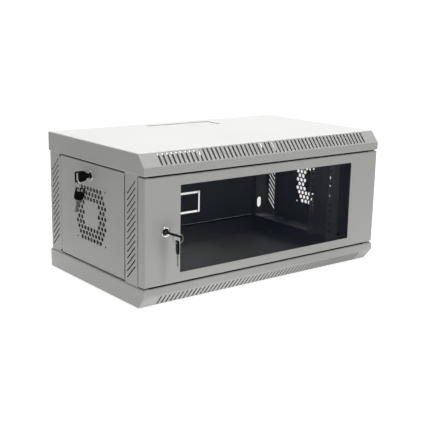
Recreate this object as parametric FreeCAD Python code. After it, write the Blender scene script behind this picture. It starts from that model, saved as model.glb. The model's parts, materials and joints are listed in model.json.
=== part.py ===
"""Wall-mount 19-inch network cabinet, 4 units high, with a windowed door and lift-off side panels.

Millimetres, +Z up, front towards -Y. The origin is the centre of the cabinet's base.
Every piece is a folded sheet, a turned part or a moulding, and is written as its own STEP file.
"""

import FreeCAD
import Part
import math
import os
from FreeCAD import Placement, Rotation, Vector

# ---- Overall sizes -------------------------------------------------------------------------
RACK_UNITS = 4
UNIT_PITCH = 44.45
RACK_OPENING = 450.0
SIDE_ROOM = 75.0
DEPTH = 350.0
END_ROOM = 13.8

# ---- Top and bottom pans -------------------------------------------------------------------
PAN_SHEET = 1.2
PAN_HEIGHT = 39.3
PAN_BEND = 2.8
NOSE_BEND = 12.0
BEVEL_RUN = 19.5
BEVEL_RISE = 23.6
SIDE_LIP = 47.0
FRONT_LIP = 20.0
REAR_LIP = 16.0
BEVEL_SLOT_PITCH = 10.0
BEVEL_SLOT_WIDTH = 3.8
BEVEL_SLOT_LENGTH = 25.0
BEVEL_SLOT_MARGIN = 36.0
PAN_ENTRY_WIDTH = 166.0
PAN_ENTRY_LENGTH = 50.0
PAN_ENTRY_SETBACK = 29.0
ENTRY_PLATE_LAP = 9.0

# ---- Punched cable entries -----------------------------------------------------------------
ENTRY_SLOT = 5.0
ENTRY_TAB = 1.2
REAR_ENTRY_WIDTH = 176.0
REAR_ENTRY_HEIGHT = 50.5
REAR_ENTRY_ABOVE_PAN = 28.2

# ---- Corner posts --------------------------------------------------------------------------
POST_SHEET = 1.5
POST_BEND = 2.0
POST_SIDE = 43.5
FRONT_FLANGE = 34.0
REAR_FLANGE = 46.0
POST_RETURN = 12.0
SIDE_INSET = 2.0
REAR_INSET = 1.5
POST_SLOT_PITCH = 12.05
POST_SLOT_WIDTH = 3.2
POST_SLOT_LENGTH = 37.5
POST_SLOT_MARGIN = 24.0
WALL_SLOT_WIDTH = 12.5
WALL_SLOT_LENGTH = 25.0
WALL_SLOT_INSET = 27.5
WALL_SLOT_ABOVE_PAN = 30.2
CORNER_RELIEF = 4.6

# ---- Panels --------------------------------------------------------------------------------
PANEL_SHEET = 1.2
PANEL_BEND = 1.8
PANEL_FLANGE = 12.0
PANEL_FRONT_SEAM = 1.2
PANEL_REAR_SEAM = 0.4
PANEL_END_GAP = 2.2
HOOK_DEPTH = 8.0
HOOK_WIDTH = 22.0
HOOK_SPREAD = 150.0
HOOK_PLAY = 1.2

# ---- Fan grille in the side panels ---------------------------------------------------------
GRILLE_PITCH = 11.5
GRILLE_HOLE = 8.6
FAN_HOLE_SPACING = 105.0
FAN_HOLE_RADIUS = 2.2

# ---- 19-inch rails -------------------------------------------------------------------------
RACK_HOLE_INSET = 7.55
RACK_HOLE = 9.0
RACK_HOLE_STEP = 15.875
RAIL_SHEET = 2.0
RAIL_FACE = 33.5
RAIL_WEB = 24.0
FOOT_CLEARANCE = 2.5
RAIL_FOOT_LENGTH = 20.0
FRONT_RAIL_SETBACK = 66.0
REAR_RAIL_SETBACK = 124.0
FRONT_RAIL_TRAVEL = 20.0
REAR_RAIL_TRAVEL = 50.0
BOLT_HEAD = 10.0
BOLT_HEAD_HEIGHT = 4.0
SLIDER_NECK = 6.0
SLIDER_PLAY = 0.5
SLIDER_WIDTH = 16.0
SLIDER_LENGTH = 10.0
SLIDER_HEIGHT = 3.0
RUNNING_GAP = 0.3

# ---- Door ----------------------------------------------------------------------------------
DOOR_SHEET = 1.2
DOOR_BEND = 3.0
DOOR_DEPTH = 20.0
DOOR_SIDE_INSET = 1.0
DOOR_GAP = 2.7
DOOR_REAR_GAP = 2.5
DOOR_STILE = 78.0
DOOR_RAIL = 18.3
WINDOW_LAP = 8.0
WINDOW_THICKNESS = 3.0
GASKET_THICKNESS = 1.0
CLIP_WIDTH = 14.0
CLIP_SHEET = 1.0
CLIP_FOOT = 7.0
CLIP_TIP = 5.0
HINGE_INSET_SIDE = 6.0
HINGE_INSET_FRONT = 6.0
HINGE_PIN_RADIUS = 2.5
HINGE_FIT = 0.06
HINGE_SHOULDER = 8.0
HOUSING_HEIGHT = 18.0
HOUSING_WALL = 4.4
PIN_GRIP = 4.0

# ---- Cam locks and keys --------------------------------------------------------------------
LOCK_BARREL_RADIUS = 8.0
LOCK_LENGTH = 25.0
LOCK_RING_RADIUS = 9.75
LOCK_RING_HEIGHT = 2.2
LOCK_NUT_FLATS = 20.0
LOCK_NUT_HEIGHT = 4.0
PLUG_RADIUS = 6.0
PLUG_FIT = 0.05
KEYWAY_WIDTH = 2.4
KEYWAY_HEIGHT = 7.2
KEYWAY_DEPTH = 22.0
CAM_THICKNESS = 2.0
CAM_WIDTH = 12.0
CAM_TANG = 7.0
CAM_CORNER = 3.0
CAM_SCREW_HEAD = 8.0
CAM_SCREW_HEIGHT = 2.5
DOOR_CAM_REACH = 33.0
SIDE_CAM_REACH = 22.0
DOOR_LOCK_INSET = 45.0
SIDE_LOCK_DROP = 23.5
KEEPER_SHEET = 1.5
KEEPER_WIDTH = 20.0
KEEPER_DROP = 13.0
KEEPER_LEG = 10.0
KEY_BLADE_WIDTH = 6.4
KEY_BLADE_THICKNESS = 1.8
KEY_BLADE_LENGTH = 18.5
KEY_SHOULDER_WIDTH = 8.6
KEY_SHOULDER_LENGTH = 5.5
KEY_ROOT = 4.0
KEY_BOW_LENGTH = 24.0
KEY_BOW_WIDTH = 21.0
KEY_BOW_THICKNESS = 3.6
KEY_BOW_CORNER = 3.0
KEY_SLOT_LENGTH = 15.0
KEY_SLOT_WIDTH = 4.6
KEY_BRIDGE = 2.6
KEY_RING_RADIUS = 8.9
KEY_RING_WIRE = 1.2
LEFT_KEY_OUT = 1.8
DOOR_KEY_OUT = 6.0
DOOR_KEY_TURN = 69.0
RING_TURN = 33.0
RING_SHIFT = 2.2
SPARE_GAP = 0.9
SPARE_TWIST = 7.0
SPARE_LEAN = 15.0

# ---- Places worked out from the sizes above ------------------------------------------------
HEIGHT = 2 * (PAN_HEIGHT + END_ROOM) + RACK_UNITS * UNIT_PITCH
WIDTH = RACK_OPENING + 2 * SIDE_ROOM
MID_HEIGHT = HEIGHT / 2
UPPER_LIP = HEIGHT - PAN_HEIGHT
FRONT = -DEPTH / 2
REAR = DEPTH / 2
SIDE_FACE = WIDTH / 2 - SIDE_INSET
LIP_OPENING = WIDTH / 2 - SIDE_LIP
POST_FRONT = FRONT + DOOR_DEPTH + DOOR_REAR_GAP
POST_REAR = REAR - REAR_INSET
PANEL_FRONT = POST_FRONT + POST_SIDE + PANEL_FRONT_SEAM
PANEL_REAR = POST_REAR - POST_SIDE - PANEL_REAR_SEAM
PANEL_MIDDLE = (PANEL_FRONT + PANEL_REAR) / 2
PANEL_BOTTOM = PAN_HEIGHT + PANEL_END_GAP
PANEL_TOP = UPPER_LIP - PANEL_END_GAP
RACK_BOTTOM = PAN_HEIGHT + END_ROOM
DOOR_HALF = WIDTH / 2 - DOOR_SIDE_INSET
DOOR_BOTTOM = PAN_HEIGHT + DOOR_GAP
DOOR_TOP = UPPER_LIP - DOOR_GAP
DOOR_BACK = FRONT + DOOR_SHEET
WINDOW_HALF = DOOR_HALF - DOOR_STILE
WINDOW_BOTTOM = DOOR_BOTTOM + DOOR_RAIL
WINDOW_TOP = DOOR_TOP - DOOR_RAIL
HINGE_X = DOOR_HALF - HINGE_INSET_SIDE
HINGE_Y = FRONT + HINGE_INSET_FRONT
HINGE_BORE = HINGE_PIN_RADIUS + HINGE_FIT
DOOR_LOCK_X = -DOOR_HALF + DOOR_LOCK_INSET
SIDE_LOCK_Z = PANEL_TOP - SIDE_LOCK_DROP
RAIL_OUTER = RACK_OPENING / 2 + RAIL_FACE
RAIL_FOOT = SIDE_FACE - PANEL_FLANGE - FOOT_CLEARANCE - RAIL_OUTER
RAIL_BOLT_X = RAIL_OUTER + RAIL_FOOT / 2 + RAIL_SHEET / 2
RAIL_BOLT_BACK = RAIL_SHEET + RAIL_FOOT_LENGTH / 2

X = Vector(1, 0, 0)
Y = Vector(0, 1, 0)
Z = Vector(0, 0, 1)


# ---- Small helpers -------------------------------------------------------------------------
def box(x0, x1, y0, y1, z0, z1):
    """A block between two corners, given as pairs of coordinates in any order."""
    xs, ys, zs = sorted((x0, x1)), sorted((y0, y1)), sorted((z0, z1))
    corner = Vector(xs[0], ys[0], zs[0])
    return Part.makeBox(xs[1] - xs[0], ys[1] - ys[0], zs[1] - zs[0], corner)


def rod(radius, start, end):
    """A round bar from one point to another."""
    run = end - start
    return Part.makeCylinder(radius, run.Length, start, run)


def frame(origin, across, up):
    """The placement whose local X and Y run along two given directions."""
    normal = across.cross(up)
    return Placement(origin, Rotation(across, up, normal, "XYZ"))


def placed(shape, placement):
    """A copy of a shape carried from its local frame into the cabinet's."""
    moved = shape.copy()
    moved.Placement = placement.multiply(moved.Placement)
    return moved


def mirrored(shape):
    """The same piece on the other side of the cabinet."""
    return shape.mirror(Vector(0, 0, 0), X)


def upside_down(shape):
    """The same piece turned over end for end, about the cabinet's middle height."""
    turned = shape.copy()
    turned.rotate(Vector(0, 0, MID_HEIGHT), Y, 180)
    return turned


def prism(points, height, base=0.0):
    """A straight-sided solid on a closed outline in the local XY plane."""
    corners = [Vector(x, y, base) for x, y in points]
    return Part.Face(Part.makePolygon(corners + corners[:1])).extrude(Z * height)


def hexagon(flats, height, base=0.0):
    """A hexagonal prism across the given flats, with two corners on the local Y axis."""
    reach = flats / math.sqrt(3)
    turns = [math.radians(30 + 60 * i) for i in range(6)]
    return prism([(reach * math.cos(a), reach * math.sin(a)) for a in turns], height, base)


def obround(length, width, height, base=0.0):
    """A slot-shaped prism whose length runs along local Y."""
    straight = length - width
    body = box(-width / 2, width / 2, -straight / 2, straight / 2, base, base + height)
    for end in (-1, 1):
        middle = Vector(0, end * straight / 2, base)
        body = body.fuse(Part.makeCylinder(width / 2, height, middle))
    return body.removeSplitter()


def revolved(profile):
    """A turned part from an (r, z) outline about local Z."""
    corners = [Vector(r, 0, z) for r, z in profile]
    return Part.Face(Part.makePolygon(corners + corners[:1])).revolve(Vector(), Z, 360)


def rounded(solid, radius, chosen):
    """Fillet the edges that a test on an edge's middle point and direction picks."""
    edges = [e for e in solid.Edges if chosen(e.CenterOfMass, e.tangentAt(e.FirstParameter))]
    return solid.makeFillet(radius, edges)


def folded_block(corner, size, radius, chosen):
    """A block whose bends run along X and along Y and meet in mitred corners.

    A test on an edge's middle point picks which edges are bent.
    """
    low, high = corner, corner + size
    solid = box(low.x, high.x, low.y, high.y, low.z, high.z)
    along_x = rounded(solid, radius, lambda c, t: abs(t.x) > 0.5 and chosen(c))
    along_y = rounded(solid, radius, lambda c, t: abs(t.y) > 0.5 and chosen(c))
    return along_x.common(along_y)


def tray(width, height, depth, sheet, bend):
    """A folded tray: its face on local z = 0 and a flange on all four sides going to +z."""

    def block(inset, top):
        corner = Vector(inset - width / 2, inset - height / 2, inset)
        size = Vector(width - 2 * inset, height - 2 * inset, top - inset)
        return folded_block(corner, size, bend - inset, lambda c: c.z < inset + 0.01)

    return block(0, depth).cut(block(sheet, depth + 2 * bend))


def entry_cut(width, height, slot, tab, depth):
    """The punched outline of a cable entry, left hanging on four thin tabs."""
    w, h = width / 2, height / 2
    outer = box(-w, w, -h, h, -depth, depth)
    cut = outer.cut(box(-w + slot, w - slot, -h + slot, h - slot, -2 * depth, 2 * depth))
    for side in (-1, 1):
        for end in (-1, 1):
            root = side * (w - slot)
            cut = cut.cut(box(root, root - side * tab, end * h, end * (h - slot), -2 * depth, 2 * depth))
    return cut


# ---- Top and bottom pans -------------------------------------------------------------------
def pan_block(inset, nose):
    """The pan's outer form, or the room inside it when it is taken in by the sheet.

    nose is the outside radius of the bend between the front skirt and the bevel. A small blunt bend
    is rounded on the outside only.
    """
    corners = [
        Vector(0, FRONT, PAN_HEIGHT),
        Vector(0, FRONT, BEVEL_RISE),
        Vector(0, FRONT + BEVEL_RUN, 0),
        Vector(0, REAR, 0),
        Vector(0, REAR, PAN_HEIGHT),
    ]
    side = Part.Face(Part.makePolygon(corners + corners[:1]))
    if inset:
        side = side.makeOffset2D(-inset, 2)
    half, radius = WIDTH / 2 - inset, PAN_BEND - inset
    side.translate(X * -half)

    def at_nose(c):
        return c.y < FRONT + 2 * inset + 1 and c.z < BEVEL_RISE + inset + 1

    lengthwise = rounded(side.extrude(X * 2 * half), radius, lambda c, t: abs(t.x) > 0.5
                         and not at_nose(c) and (inset == 0 or c.y > 0 or c.z > BEVEL_RISE + inset + 1))
    if inset == 0 or nose > PAN_BEND:
        lengthwise = rounded(lengthwise, nose - inset, lambda c, t: abs(t.x) > 0.5 and at_nose(c))
    ends = box(-half, half, FRONT, REAR, inset, PAN_HEIGHT - inset)
    return lengthwise.common(rounded(ends, radius, lambda c, t: abs(t.y) > 0.5))


def bevel_slots():
    """The row of vent slots along the front bevel."""
    reach = math.hypot(BEVEL_RUN, BEVEL_RISE)
    up = Vector(0, -BEVEL_RUN / reach, BEVEL_RISE / reach)
    middle = Vector(0, FRONT + BEVEL_RUN / 2, BEVEL_RISE / 2)
    one = box(-BEVEL_SLOT_WIDTH / 2, BEVEL_SLOT_WIDTH / 2,
              -BEVEL_SLOT_LENGTH / 2, BEVEL_SLOT_LENGTH / 2, -PAN_BEND, PAN_BEND)
    count = int((WIDTH / 2 - BEVEL_SLOT_MARGIN) / BEVEL_SLOT_PITCH)
    places = [middle + X * BEVEL_SLOT_PITCH * i for i in range(-count, count + 1)]
    return Part.makeCompound([placed(one, frame(place, X, up)) for place in places])


def rail_slots():
    """Long slots in the side lips where the rails' feet are bolted: the pairs move apart."""
    cuts = []
    front, rear = FRONT + FRONT_RAIL_SETBACK + RAIL_BOLT_BACK, FRONT + REAR_RAIL_SETBACK - RAIL_BOLT_BACK
    for first, last in ((front - FRONT_RAIL_TRAVEL, front), (rear, rear + REAR_RAIL_TRAVEL)):
        half = SLIDER_NECK / 2 + SLIDER_PLAY
        for side in (-1, 1):
            middle = side * RAIL_BOLT_X
            cuts.append(box(middle - half, middle + half, first - half, last + half,
                            PAN_HEIGHT - 2 * PAN_SHEET, PAN_HEIGHT + PAN_SHEET))
    return cuts


def hook_slots():
    """Slots in the side lips that take the side panels' hooks."""
    inner = SIDE_FACE - PANEL_FLANGE
    cuts = []
    for side in (-1, 1):
        for end in (-1, 1):
            middle = PANEL_MIDDLE + end * HOOK_SPREAD / 2
            cuts.append(box(side * (inner - 2 * HOOK_PLAY), side * (inner + PANEL_SHEET + HOOK_PLAY),
                            middle - HOOK_WIDTH / 2 - HOOK_PLAY, middle + HOOK_WIDTH / 2 + HOOK_PLAY,
                            PAN_HEIGHT - 2 * PAN_SHEET, PAN_HEIGHT + PAN_SHEET))
    return cuts


def pan_entry(lap, z0, z1):
    """The block of the pan's cable entry, widened by a lap."""
    middle = REAR - PAN_ENTRY_SETBACK - PAN_ENTRY_LENGTH / 2
    w, h = PAN_ENTRY_WIDTH / 2 + lap, PAN_ENTRY_LENGTH / 2 + lap
    return box(-w, w, middle - h, middle + h, z0, z1)


def bottom_pan(nose):
    """The stamped pan: floor, bevelled front, skirts and the lips folded in round its rim."""
    pan = pan_block(0, nose).cut(pan_block(PAN_SHEET, nose))
    cuts = [box(-LIP_OPENING, LIP_OPENING, FRONT + FRONT_LIP, REAR - REAR_LIP,
                PAN_HEIGHT - 2 * PAN_SHEET, PAN_HEIGHT + PAN_SHEET)]
    cuts.append(bevel_slots())
    cuts.append(pan_entry(0, -PAN_SHEET, 2 * PAN_SHEET))
    cuts += rail_slots() + hook_slots()
    for side in (-1, 1):
        hinge = Vector(side * HINGE_X, HINGE_Y, PAN_HEIGHT - 2 * PAN_SHEET)
        cuts.append(rod(HINGE_BORE, hinge, hinge + Z * 3 * PAN_SHEET))
    return pan.cut(Part.makeCompound(cuts))


# ---- Corner posts --------------------------------------------------------------------------
def post(flange, front):
    """A left-hand corner post welded between the lips.

    Its wide sides are the slotted side flange and the front or rear flange, and a foot closes
    each end. The flanges end in returns, but the front flange stays flat so that the door's
    cam can turn in behind it.
    """
    height = UPPER_LIP - PAN_HEIGHT
    edge = flange / 2 if front else flange

    def block(inset, end):
        solid = box(inset, flange - inset, inset, POST_SIDE - inset, end, height - end)
        return rounded(solid, POST_BEND - inset, lambda c, t: abs(t.z) > 0.5 and (c.x < edge or c.y > edge))

    behind = POST_SHEET if front else POST_RETURN
    corner = box(POST_RETURN, 2 * flange, behind, 2 * POST_SIDE, POST_SHEET, height - POST_SHEET)
    solid = block(0, 0).cut(block(POST_SHEET, POST_SHEET)).cut(corner)
    if front:
        solid.translate(Vector(-SIDE_FACE, POST_FRONT, PAN_HEIGHT))
        return solid
    solid = solid.mirror(Vector(), Y)
    solid.translate(Vector(-SIDE_FACE, POST_REAR, PAN_HEIGHT))
    return solid


def post_cuts(front):
    """The vent slots of a left-hand post, the front post's clearance for the sliding rail, and the
    rear post's wall-mounting slots and corner reliefs.
    """
    middle = (POST_FRONT if front else POST_REAR - POST_SIDE) + POST_SIDE / 2
    slot = box(-POST_SLOT_WIDTH / 2, POST_SLOT_WIDTH / 2, -POST_SLOT_LENGTH / 2, POST_SLOT_LENGTH / 2,
               -2 * POST_SHEET, 2 * POST_SHEET)
    room = UPPER_LIP - PAN_HEIGHT - 2 * POST_SLOT_MARGIN
    count = int(room / POST_SLOT_PITCH) + 1
    across, slant = Vector(0, -1, -1), Vector(0, -1, 1)
    cuts = []
    for i in range(count):
        z = MID_HEIGHT + (i - (count - 1) / 2) * POST_SLOT_PITCH
        cuts.append(placed(slot, frame(Vector(-SIDE_FACE, middle, z), across, slant)))
    if front:
        ahead = FRONT + FRONT_RAIL_SETBACK - FRONT_RAIL_TRAVEL - FOOT_CLEARANCE / 2
        past = RAIL_OUTER + RAIL_FOOT + FOOT_CLEARANCE / 2
        for z in (PAN_HEIGHT, UPPER_LIP):
            cuts.append(box(-past, 0, ahead, 0, z - 2 * POST_SHEET, z + 2 * POST_SHEET))
        return cuts
    hole = obround(WALL_SLOT_LENGTH, WALL_SLOT_WIDTH, 4 * POST_SHEET, -2 * POST_SHEET)
    inner, ahead = -SIDE_FACE + REAR_FLANGE, POST_REAR - POST_SIDE
    for end in (-1, 1):
        z = MID_HEIGHT + end * (MID_HEIGHT - PAN_HEIGHT - WALL_SLOT_ABOVE_PAN)
        cuts.append(placed(hole, frame(Vector(-WIDTH / 2 + WALL_SLOT_INSET, POST_REAR, z), X, Z)))
        z = MID_HEIGHT + end * (PANEL_TOP - MID_HEIGHT)
        low, high = z, z - end * CORNER_RELIEF
        cuts.append(box(inner - CORNER_RELIEF, inner + 1, POST_REAR - POST_RETURN / 4, POST_REAR + 1, low, high))
        cuts.append(box(-SIDE_FACE - 1, -SIDE_FACE + POST_RETURN / 4, ahead - 1, ahead + CORNER_RELIEF, low, high))
    return cuts


def posts():
    """The four corner posts; left and right are the same part turned end for end."""
    front = post(FRONT_FLANGE, True).cut(Part.makeCompound(post_cuts(True)))
    rear = post(REAR_FLANGE, False).cut(Part.makeCompound(post_cuts(False)))
    return {
        "front_post_left": front,
        "rear_post_left": rear,
        "front_post_right": upside_down(front),
        "rear_post_right": upside_down(rear),
    }


# ---- Rear panel ----------------------------------------------------------------------------
def rear_panel():
    """The flat back with a flange down each side and two punched cable entries, low and high."""
    half = SIDE_FACE - REAR_FLANGE
    height = PANEL_TOP - PANEL_BOTTOM
    folded = tray(2 * half, height + 4 * PANEL_FLANGE, PANEL_FLANGE, PANEL_SHEET, PANEL_BEND)
    folded = folded.common(box(-half, half, -height / 2, height / 2, 0, PANEL_FLANGE))
    rise = MID_HEIGHT - PAN_HEIGHT - REAR_ENTRY_ABOVE_PAN - REAR_ENTRY_HEIGHT / 2
    for side in (-1, 1):
        entry = entry_cut(REAR_ENTRY_WIDTH, REAR_ENTRY_HEIGHT, ENTRY_SLOT, ENTRY_TAB, 2 * PANEL_SHEET)
        entry.translate(Y * side * rise)
        folded = folded.cut(entry)
    return placed(folded, frame(Vector(0, POST_REAR, MID_HEIGHT), X, Z))


# ---- Side panels ---------------------------------------------------------------------------
def grille_places():
    """Centres of the hexagonal holes: eleven staggered rows with the fan's hub left solid."""
    rows = {5: (7, 7), 4: (8, 8), 3: (9, 9), 2: (10, 3), 1: (9, 2), 0: (10, 3)}
    pitch_up = GRILLE_PITCH * math.sqrt(3) / 2
    places = []
    for row in range(-5, 6):
        count, kept = rows[abs(row)]
        for i in range(count):
            if kept <= i < count - kept:
                continue
            places.append(((i - (count - 1) / 2) * GRILLE_PITCH, row * pitch_up))
    return places


def side_panel():
    """The left side panel: a folded tray with the fan grille, the lock hole and two hooks."""
    width, height = PANEL_REAR - PANEL_FRONT, PANEL_TOP - PANEL_BOTTOM
    panel = tray(width, height, PANEL_FLANGE, PANEL_SHEET, PANEL_BEND)
    hole = hexagon(GRILLE_HOLE, 4 * PANEL_SHEET, -2 * PANEL_SHEET)
    cuts = [placed(hole, Placement(Vector(u, v, 0), Rotation())) for u, v in grille_places()]
    fan = FAN_HOLE_SPACING / 2
    for u, v in ((-fan, -fan), (fan, -fan), (fan, fan), (-fan, fan)):
        cuts.append(Part.makeCylinder(FAN_HOLE_RADIUS, 4 * PANEL_SHEET, Vector(u, v, -2 * PANEL_SHEET)))
    lock = Vector(0, SIDE_LOCK_Z - MID_HEIGHT, -2 * PANEL_SHEET)
    cuts.append(Part.makeCylinder(LOCK_BARREL_RADIUS + PLUG_FIT, 4 * PANEL_SHEET, lock))
    panel = panel.cut(Part.makeCompound(cuts))
    for end in (-1, 1):
        u = end * HOOK_SPREAD / 2
        low = -height / 2 - PANEL_END_GAP - PAN_SHEET - HOOK_DEPTH
        panel = panel.fuse(box(u - HOOK_WIDTH / 2, u + HOOK_WIDTH / 2, low, -height / 2 + PANEL_SHEET,
                               PANEL_FLANGE - PANEL_SHEET, PANEL_FLANGE))
    return placed(panel.removeSplitter(), frame(Vector(-SIDE_FACE, PANEL_MIDDLE, MID_HEIGHT), Y, Z))


def lock_keeper():
    """The angle under the upper lip that a side lock's cam turns up behind, left side."""
    cam = SIDE_FACE - LOCK_LENGTH - RUNNING_GAP
    x1 = -cam - RUNNING_GAP
    y0, y1 = PANEL_MIDDLE - KEEPER_WIDTH / 2, PANEL_MIDDLE + KEEPER_WIDTH / 2
    hanging = box(x1 - KEEPER_SHEET, x1, y0, y1, UPPER_LIP - KEEPER_DROP, UPPER_LIP)
    seat = box(x1 - KEEPER_SHEET, x1 - KEEPER_SHEET + KEEPER_LEG, y0, y1, UPPER_LIP - KEEPER_SHEET, UPPER_LIP)
    angle = hanging.fuse(seat).removeSplitter()
    return rounded(angle, KEEPER_SHEET * 1.4, lambda c, t: abs(t.y) > 0.5 and c.x < x1 - KEEPER_SHEET + 0.01
                   and c.z > UPPER_LIP - 0.01)


# ---- 19-inch rails -------------------------------------------------------------------------
def rail(setback):
    """A left-hand rail: a punched face, a web behind it and a foot folded out at each end."""
    y0 = FRONT + setback
    z0, z1 = PAN_HEIGHT + RUNNING_GAP, UPPER_LIP - RUNNING_GAP
    inner, outer = -RACK_OPENING / 2, -RAIL_OUTER
    angle = box(inner, outer, y0, y0 + RAIL_WEB, z0, z1)
    angle = angle.cut(box(inner + 1, outer + RAIL_SHEET, y0 + RAIL_SHEET, y0 + 2 * RAIL_WEB, 0, HEIGHT))
    angle = rounded(angle, RAIL_SHEET, lambda c, t: abs(t.z) > 0.5 and c.x < outer + 0.01 and c.y < y0 + 0.01)
    foot_y = y0 + RAIL_SHEET
    foot = box(outer + RAIL_SHEET, outer - RAIL_FOOT, foot_y, foot_y + RAIL_FOOT_LENGTH, z0, z0 + RAIL_SHEET)
    solid = angle.fuse(foot).fuse(upside_down(mirrored(foot))).removeSplitter()
    cuts = []
    hole_x = inner - RACK_HOLE_INSET
    for unit in range(RACK_UNITS):
        for step in (-1, 0, 1):
            z = RACK_BOTTOM + UNIT_PITCH * (unit + 0.5) + step * RACK_HOLE_STEP
            cuts.append(box(hole_x - RACK_HOLE / 2, hole_x + RACK_HOLE / 2, y0 - 1, y0 + RAIL_SHEET + 1,
                            z - RACK_HOLE / 2, z + RACK_HOLE / 2))
    neck, bolt_y = SLIDER_NECK / 2, y0 + RAIL_BOLT_BACK
    cuts.append(box(-RAIL_BOLT_X - neck, -RAIL_BOLT_X + neck, bolt_y - neck, bolt_y + neck, 0, HEIGHT))
    return solid.cut(Part.makeCompound(cuts))


def rail_bolts(setback):
    """The bolt heads on a left-hand rail's feet, screwed into sliders that grip the lips from behind."""
    place = Vector(-RAIL_BOLT_X, FRONT + setback + RAIL_BOLT_BACK, PAN_HEIGHT + RUNNING_GAP + RAIL_SHEET)
    neck, wide, long = SLIDER_NECK / 2, SLIDER_WIDTH / 2, SLIDER_LENGTH / 2
    under = -RAIL_SHEET - 2 * RUNNING_GAP - PAN_SHEET
    bolt = hexagon(BOLT_HEAD, BOLT_HEAD_HEIGHT).fuse(box(-neck, neck, -neck, neck, under, 0))
    bolt = bolt.fuse(box(-wide, wide, -long, long, under - SLIDER_HEIGHT, under)).removeSplitter()
    bolt = placed(bolt, Placement(place, Rotation()))
    return Part.makeCompound([bolt, upside_down(mirrored(bolt))])


def facing_back(shape):
    """A rear rail or its bolts, turned to face the wall on the plane of its own face."""
    return shape.mirror(Vector(0, FRONT + REAR_RAIL_SETBACK, 0), Y)


# ---- Door ----------------------------------------------------------------------------------
def door_frame():
    """The folded door with its window cut-out, lock hole and hinge holes."""
    height = DOOR_TOP - DOOR_BOTTOM
    folded = tray(2 * DOOR_HALF, height, DOOR_DEPTH, DOOR_SHEET, DOOR_BEND)
    door = placed(folded, frame(Vector(0, FRONT, MID_HEIGHT), -X, Z))
    cuts = [box(-WINDOW_HALF, WINDOW_HALF, FRONT - 1, DOOR_BACK + 1, WINDOW_BOTTOM, WINDOW_TOP)]
    lock = Vector(DOOR_LOCK_X, FRONT - 1, MID_HEIGHT)
    cuts.append(rod(LOCK_BARREL_RADIUS + PLUG_FIT, lock, lock + Y * (DOOR_SHEET + 2)))
    hinge = Vector(HINGE_X, HINGE_Y, 0)
    cuts.append(rod(HINGE_BORE, hinge + Z * (DOOR_TOP - 2 * DOOR_SHEET), hinge + Z * HEIGHT))
    cuts.append(rod(HINGE_BORE, hinge, hinge + Z * (DOOR_BOTTOM + 2 * DOOR_SHEET)))
    return door.cut(Part.makeCompound(cuts))


def window_gasket():
    """The foam strip between the door's face and the pane."""
    lap = WINDOW_LAP
    outer = box(-WINDOW_HALF - lap, WINDOW_HALF + lap, DOOR_BACK, DOOR_BACK + GASKET_THICKNESS,
                WINDOW_BOTTOM - lap, WINDOW_TOP + lap)
    return outer.cut(box(-WINDOW_HALF - 1, WINDOW_HALF + 1, DOOR_BACK - 1, DOOR_BACK + GASKET_THICKNESS + 1,
                         WINDOW_BOTTOM - 1, WINDOW_TOP + 1))


def door_window():
    """The tinted pane, lapped behind the cut-out all round."""
    front = DOOR_BACK + GASKET_THICKNESS
    return box(-WINDOW_HALF - WINDOW_LAP, WINDOW_HALF + WINDOW_LAP, front, front + WINDOW_THICKNESS,
               WINDOW_BOTTOM - WINDOW_LAP, WINDOW_TOP + WINDOW_LAP)


def window_clips():
    """Stepped clips on the door's stiles that hold the pane against its gasket."""
    pane_back = DOOR_BACK + GASKET_THICKNESS + WINDOW_THICKNESS
    edge = WINDOW_HALF + WINDOW_LAP
    step = [
        (edge + 1 + CLIP_FOOT, DOOR_BACK),
        (edge + 1 + CLIP_FOOT, DOOR_BACK + CLIP_SHEET),
        (edge + 1 + CLIP_SHEET, DOOR_BACK + CLIP_SHEET),
        (edge + 1 + CLIP_SHEET, pane_back + CLIP_SHEET),
        (edge - CLIP_TIP, pane_back + CLIP_SHEET),
        (edge - CLIP_TIP, pane_back),
        (edge + 1, pane_back),
        (edge + 1, DOOR_BACK),
    ]
    clip = prism(step, CLIP_WIDTH, -CLIP_WIDTH / 2)
    solids = []
    for share in (0.15, 0.5, 0.85):
        z = WINDOW_BOTTOM + share * (WINDOW_TOP - WINDOW_BOTTOM)
        one = placed(clip, Placement(Z * z, Rotation()))
        solids += [one, mirrored(one)]
    return Part.makeCompound(solids)


def lower_hinge_pin():
    """The fixed stud under the door, with the hexagonal shoulder that carries the door's weight."""
    low = PAN_HEIGHT - PAN_SHEET - 3
    seat = PAN_HEIGHT + RUNNING_GAP
    pin = rod(HINGE_PIN_RADIUS, Z * low, Z * (DOOR_BOTTOM + DOOR_SHEET + 3))
    shoulder = hexagon(HINGE_SHOULDER, DOOR_BOTTOM - seat, seat)
    return placed(pin.fuse(shoulder), Placement(Vector(HINGE_X, HINGE_Y, 0), Rotation()))


def pin_housing():
    """The block inside the door's top corner that guides the sprung pin and hides its spring."""
    high = DOOR_TOP - DOOR_SHEET
    low = high - HOUSING_HEIGHT
    wall = HOUSING_WALL
    block = box(HINGE_X - 2 * wall, HINGE_X + wall, DOOR_BACK, HINGE_Y + wall, low, high)
    in_bend = [e for e in block.Edges if e.CenterOfMass.y < DOOR_BACK + 0.01
               and (e.CenterOfMass.x > HINGE_X + wall - 0.01 or e.CenterOfMass.z > high - 0.01)]
    block = block.makeChamfer(DOOR_BEND - DOOR_SHEET, in_bend)
    hole = Vector(HINGE_X, HINGE_Y, low - 1)
    return block.cut(rod(HINGE_BORE, hole, hole + Z * (HOUSING_HEIGHT + 2)))


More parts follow.
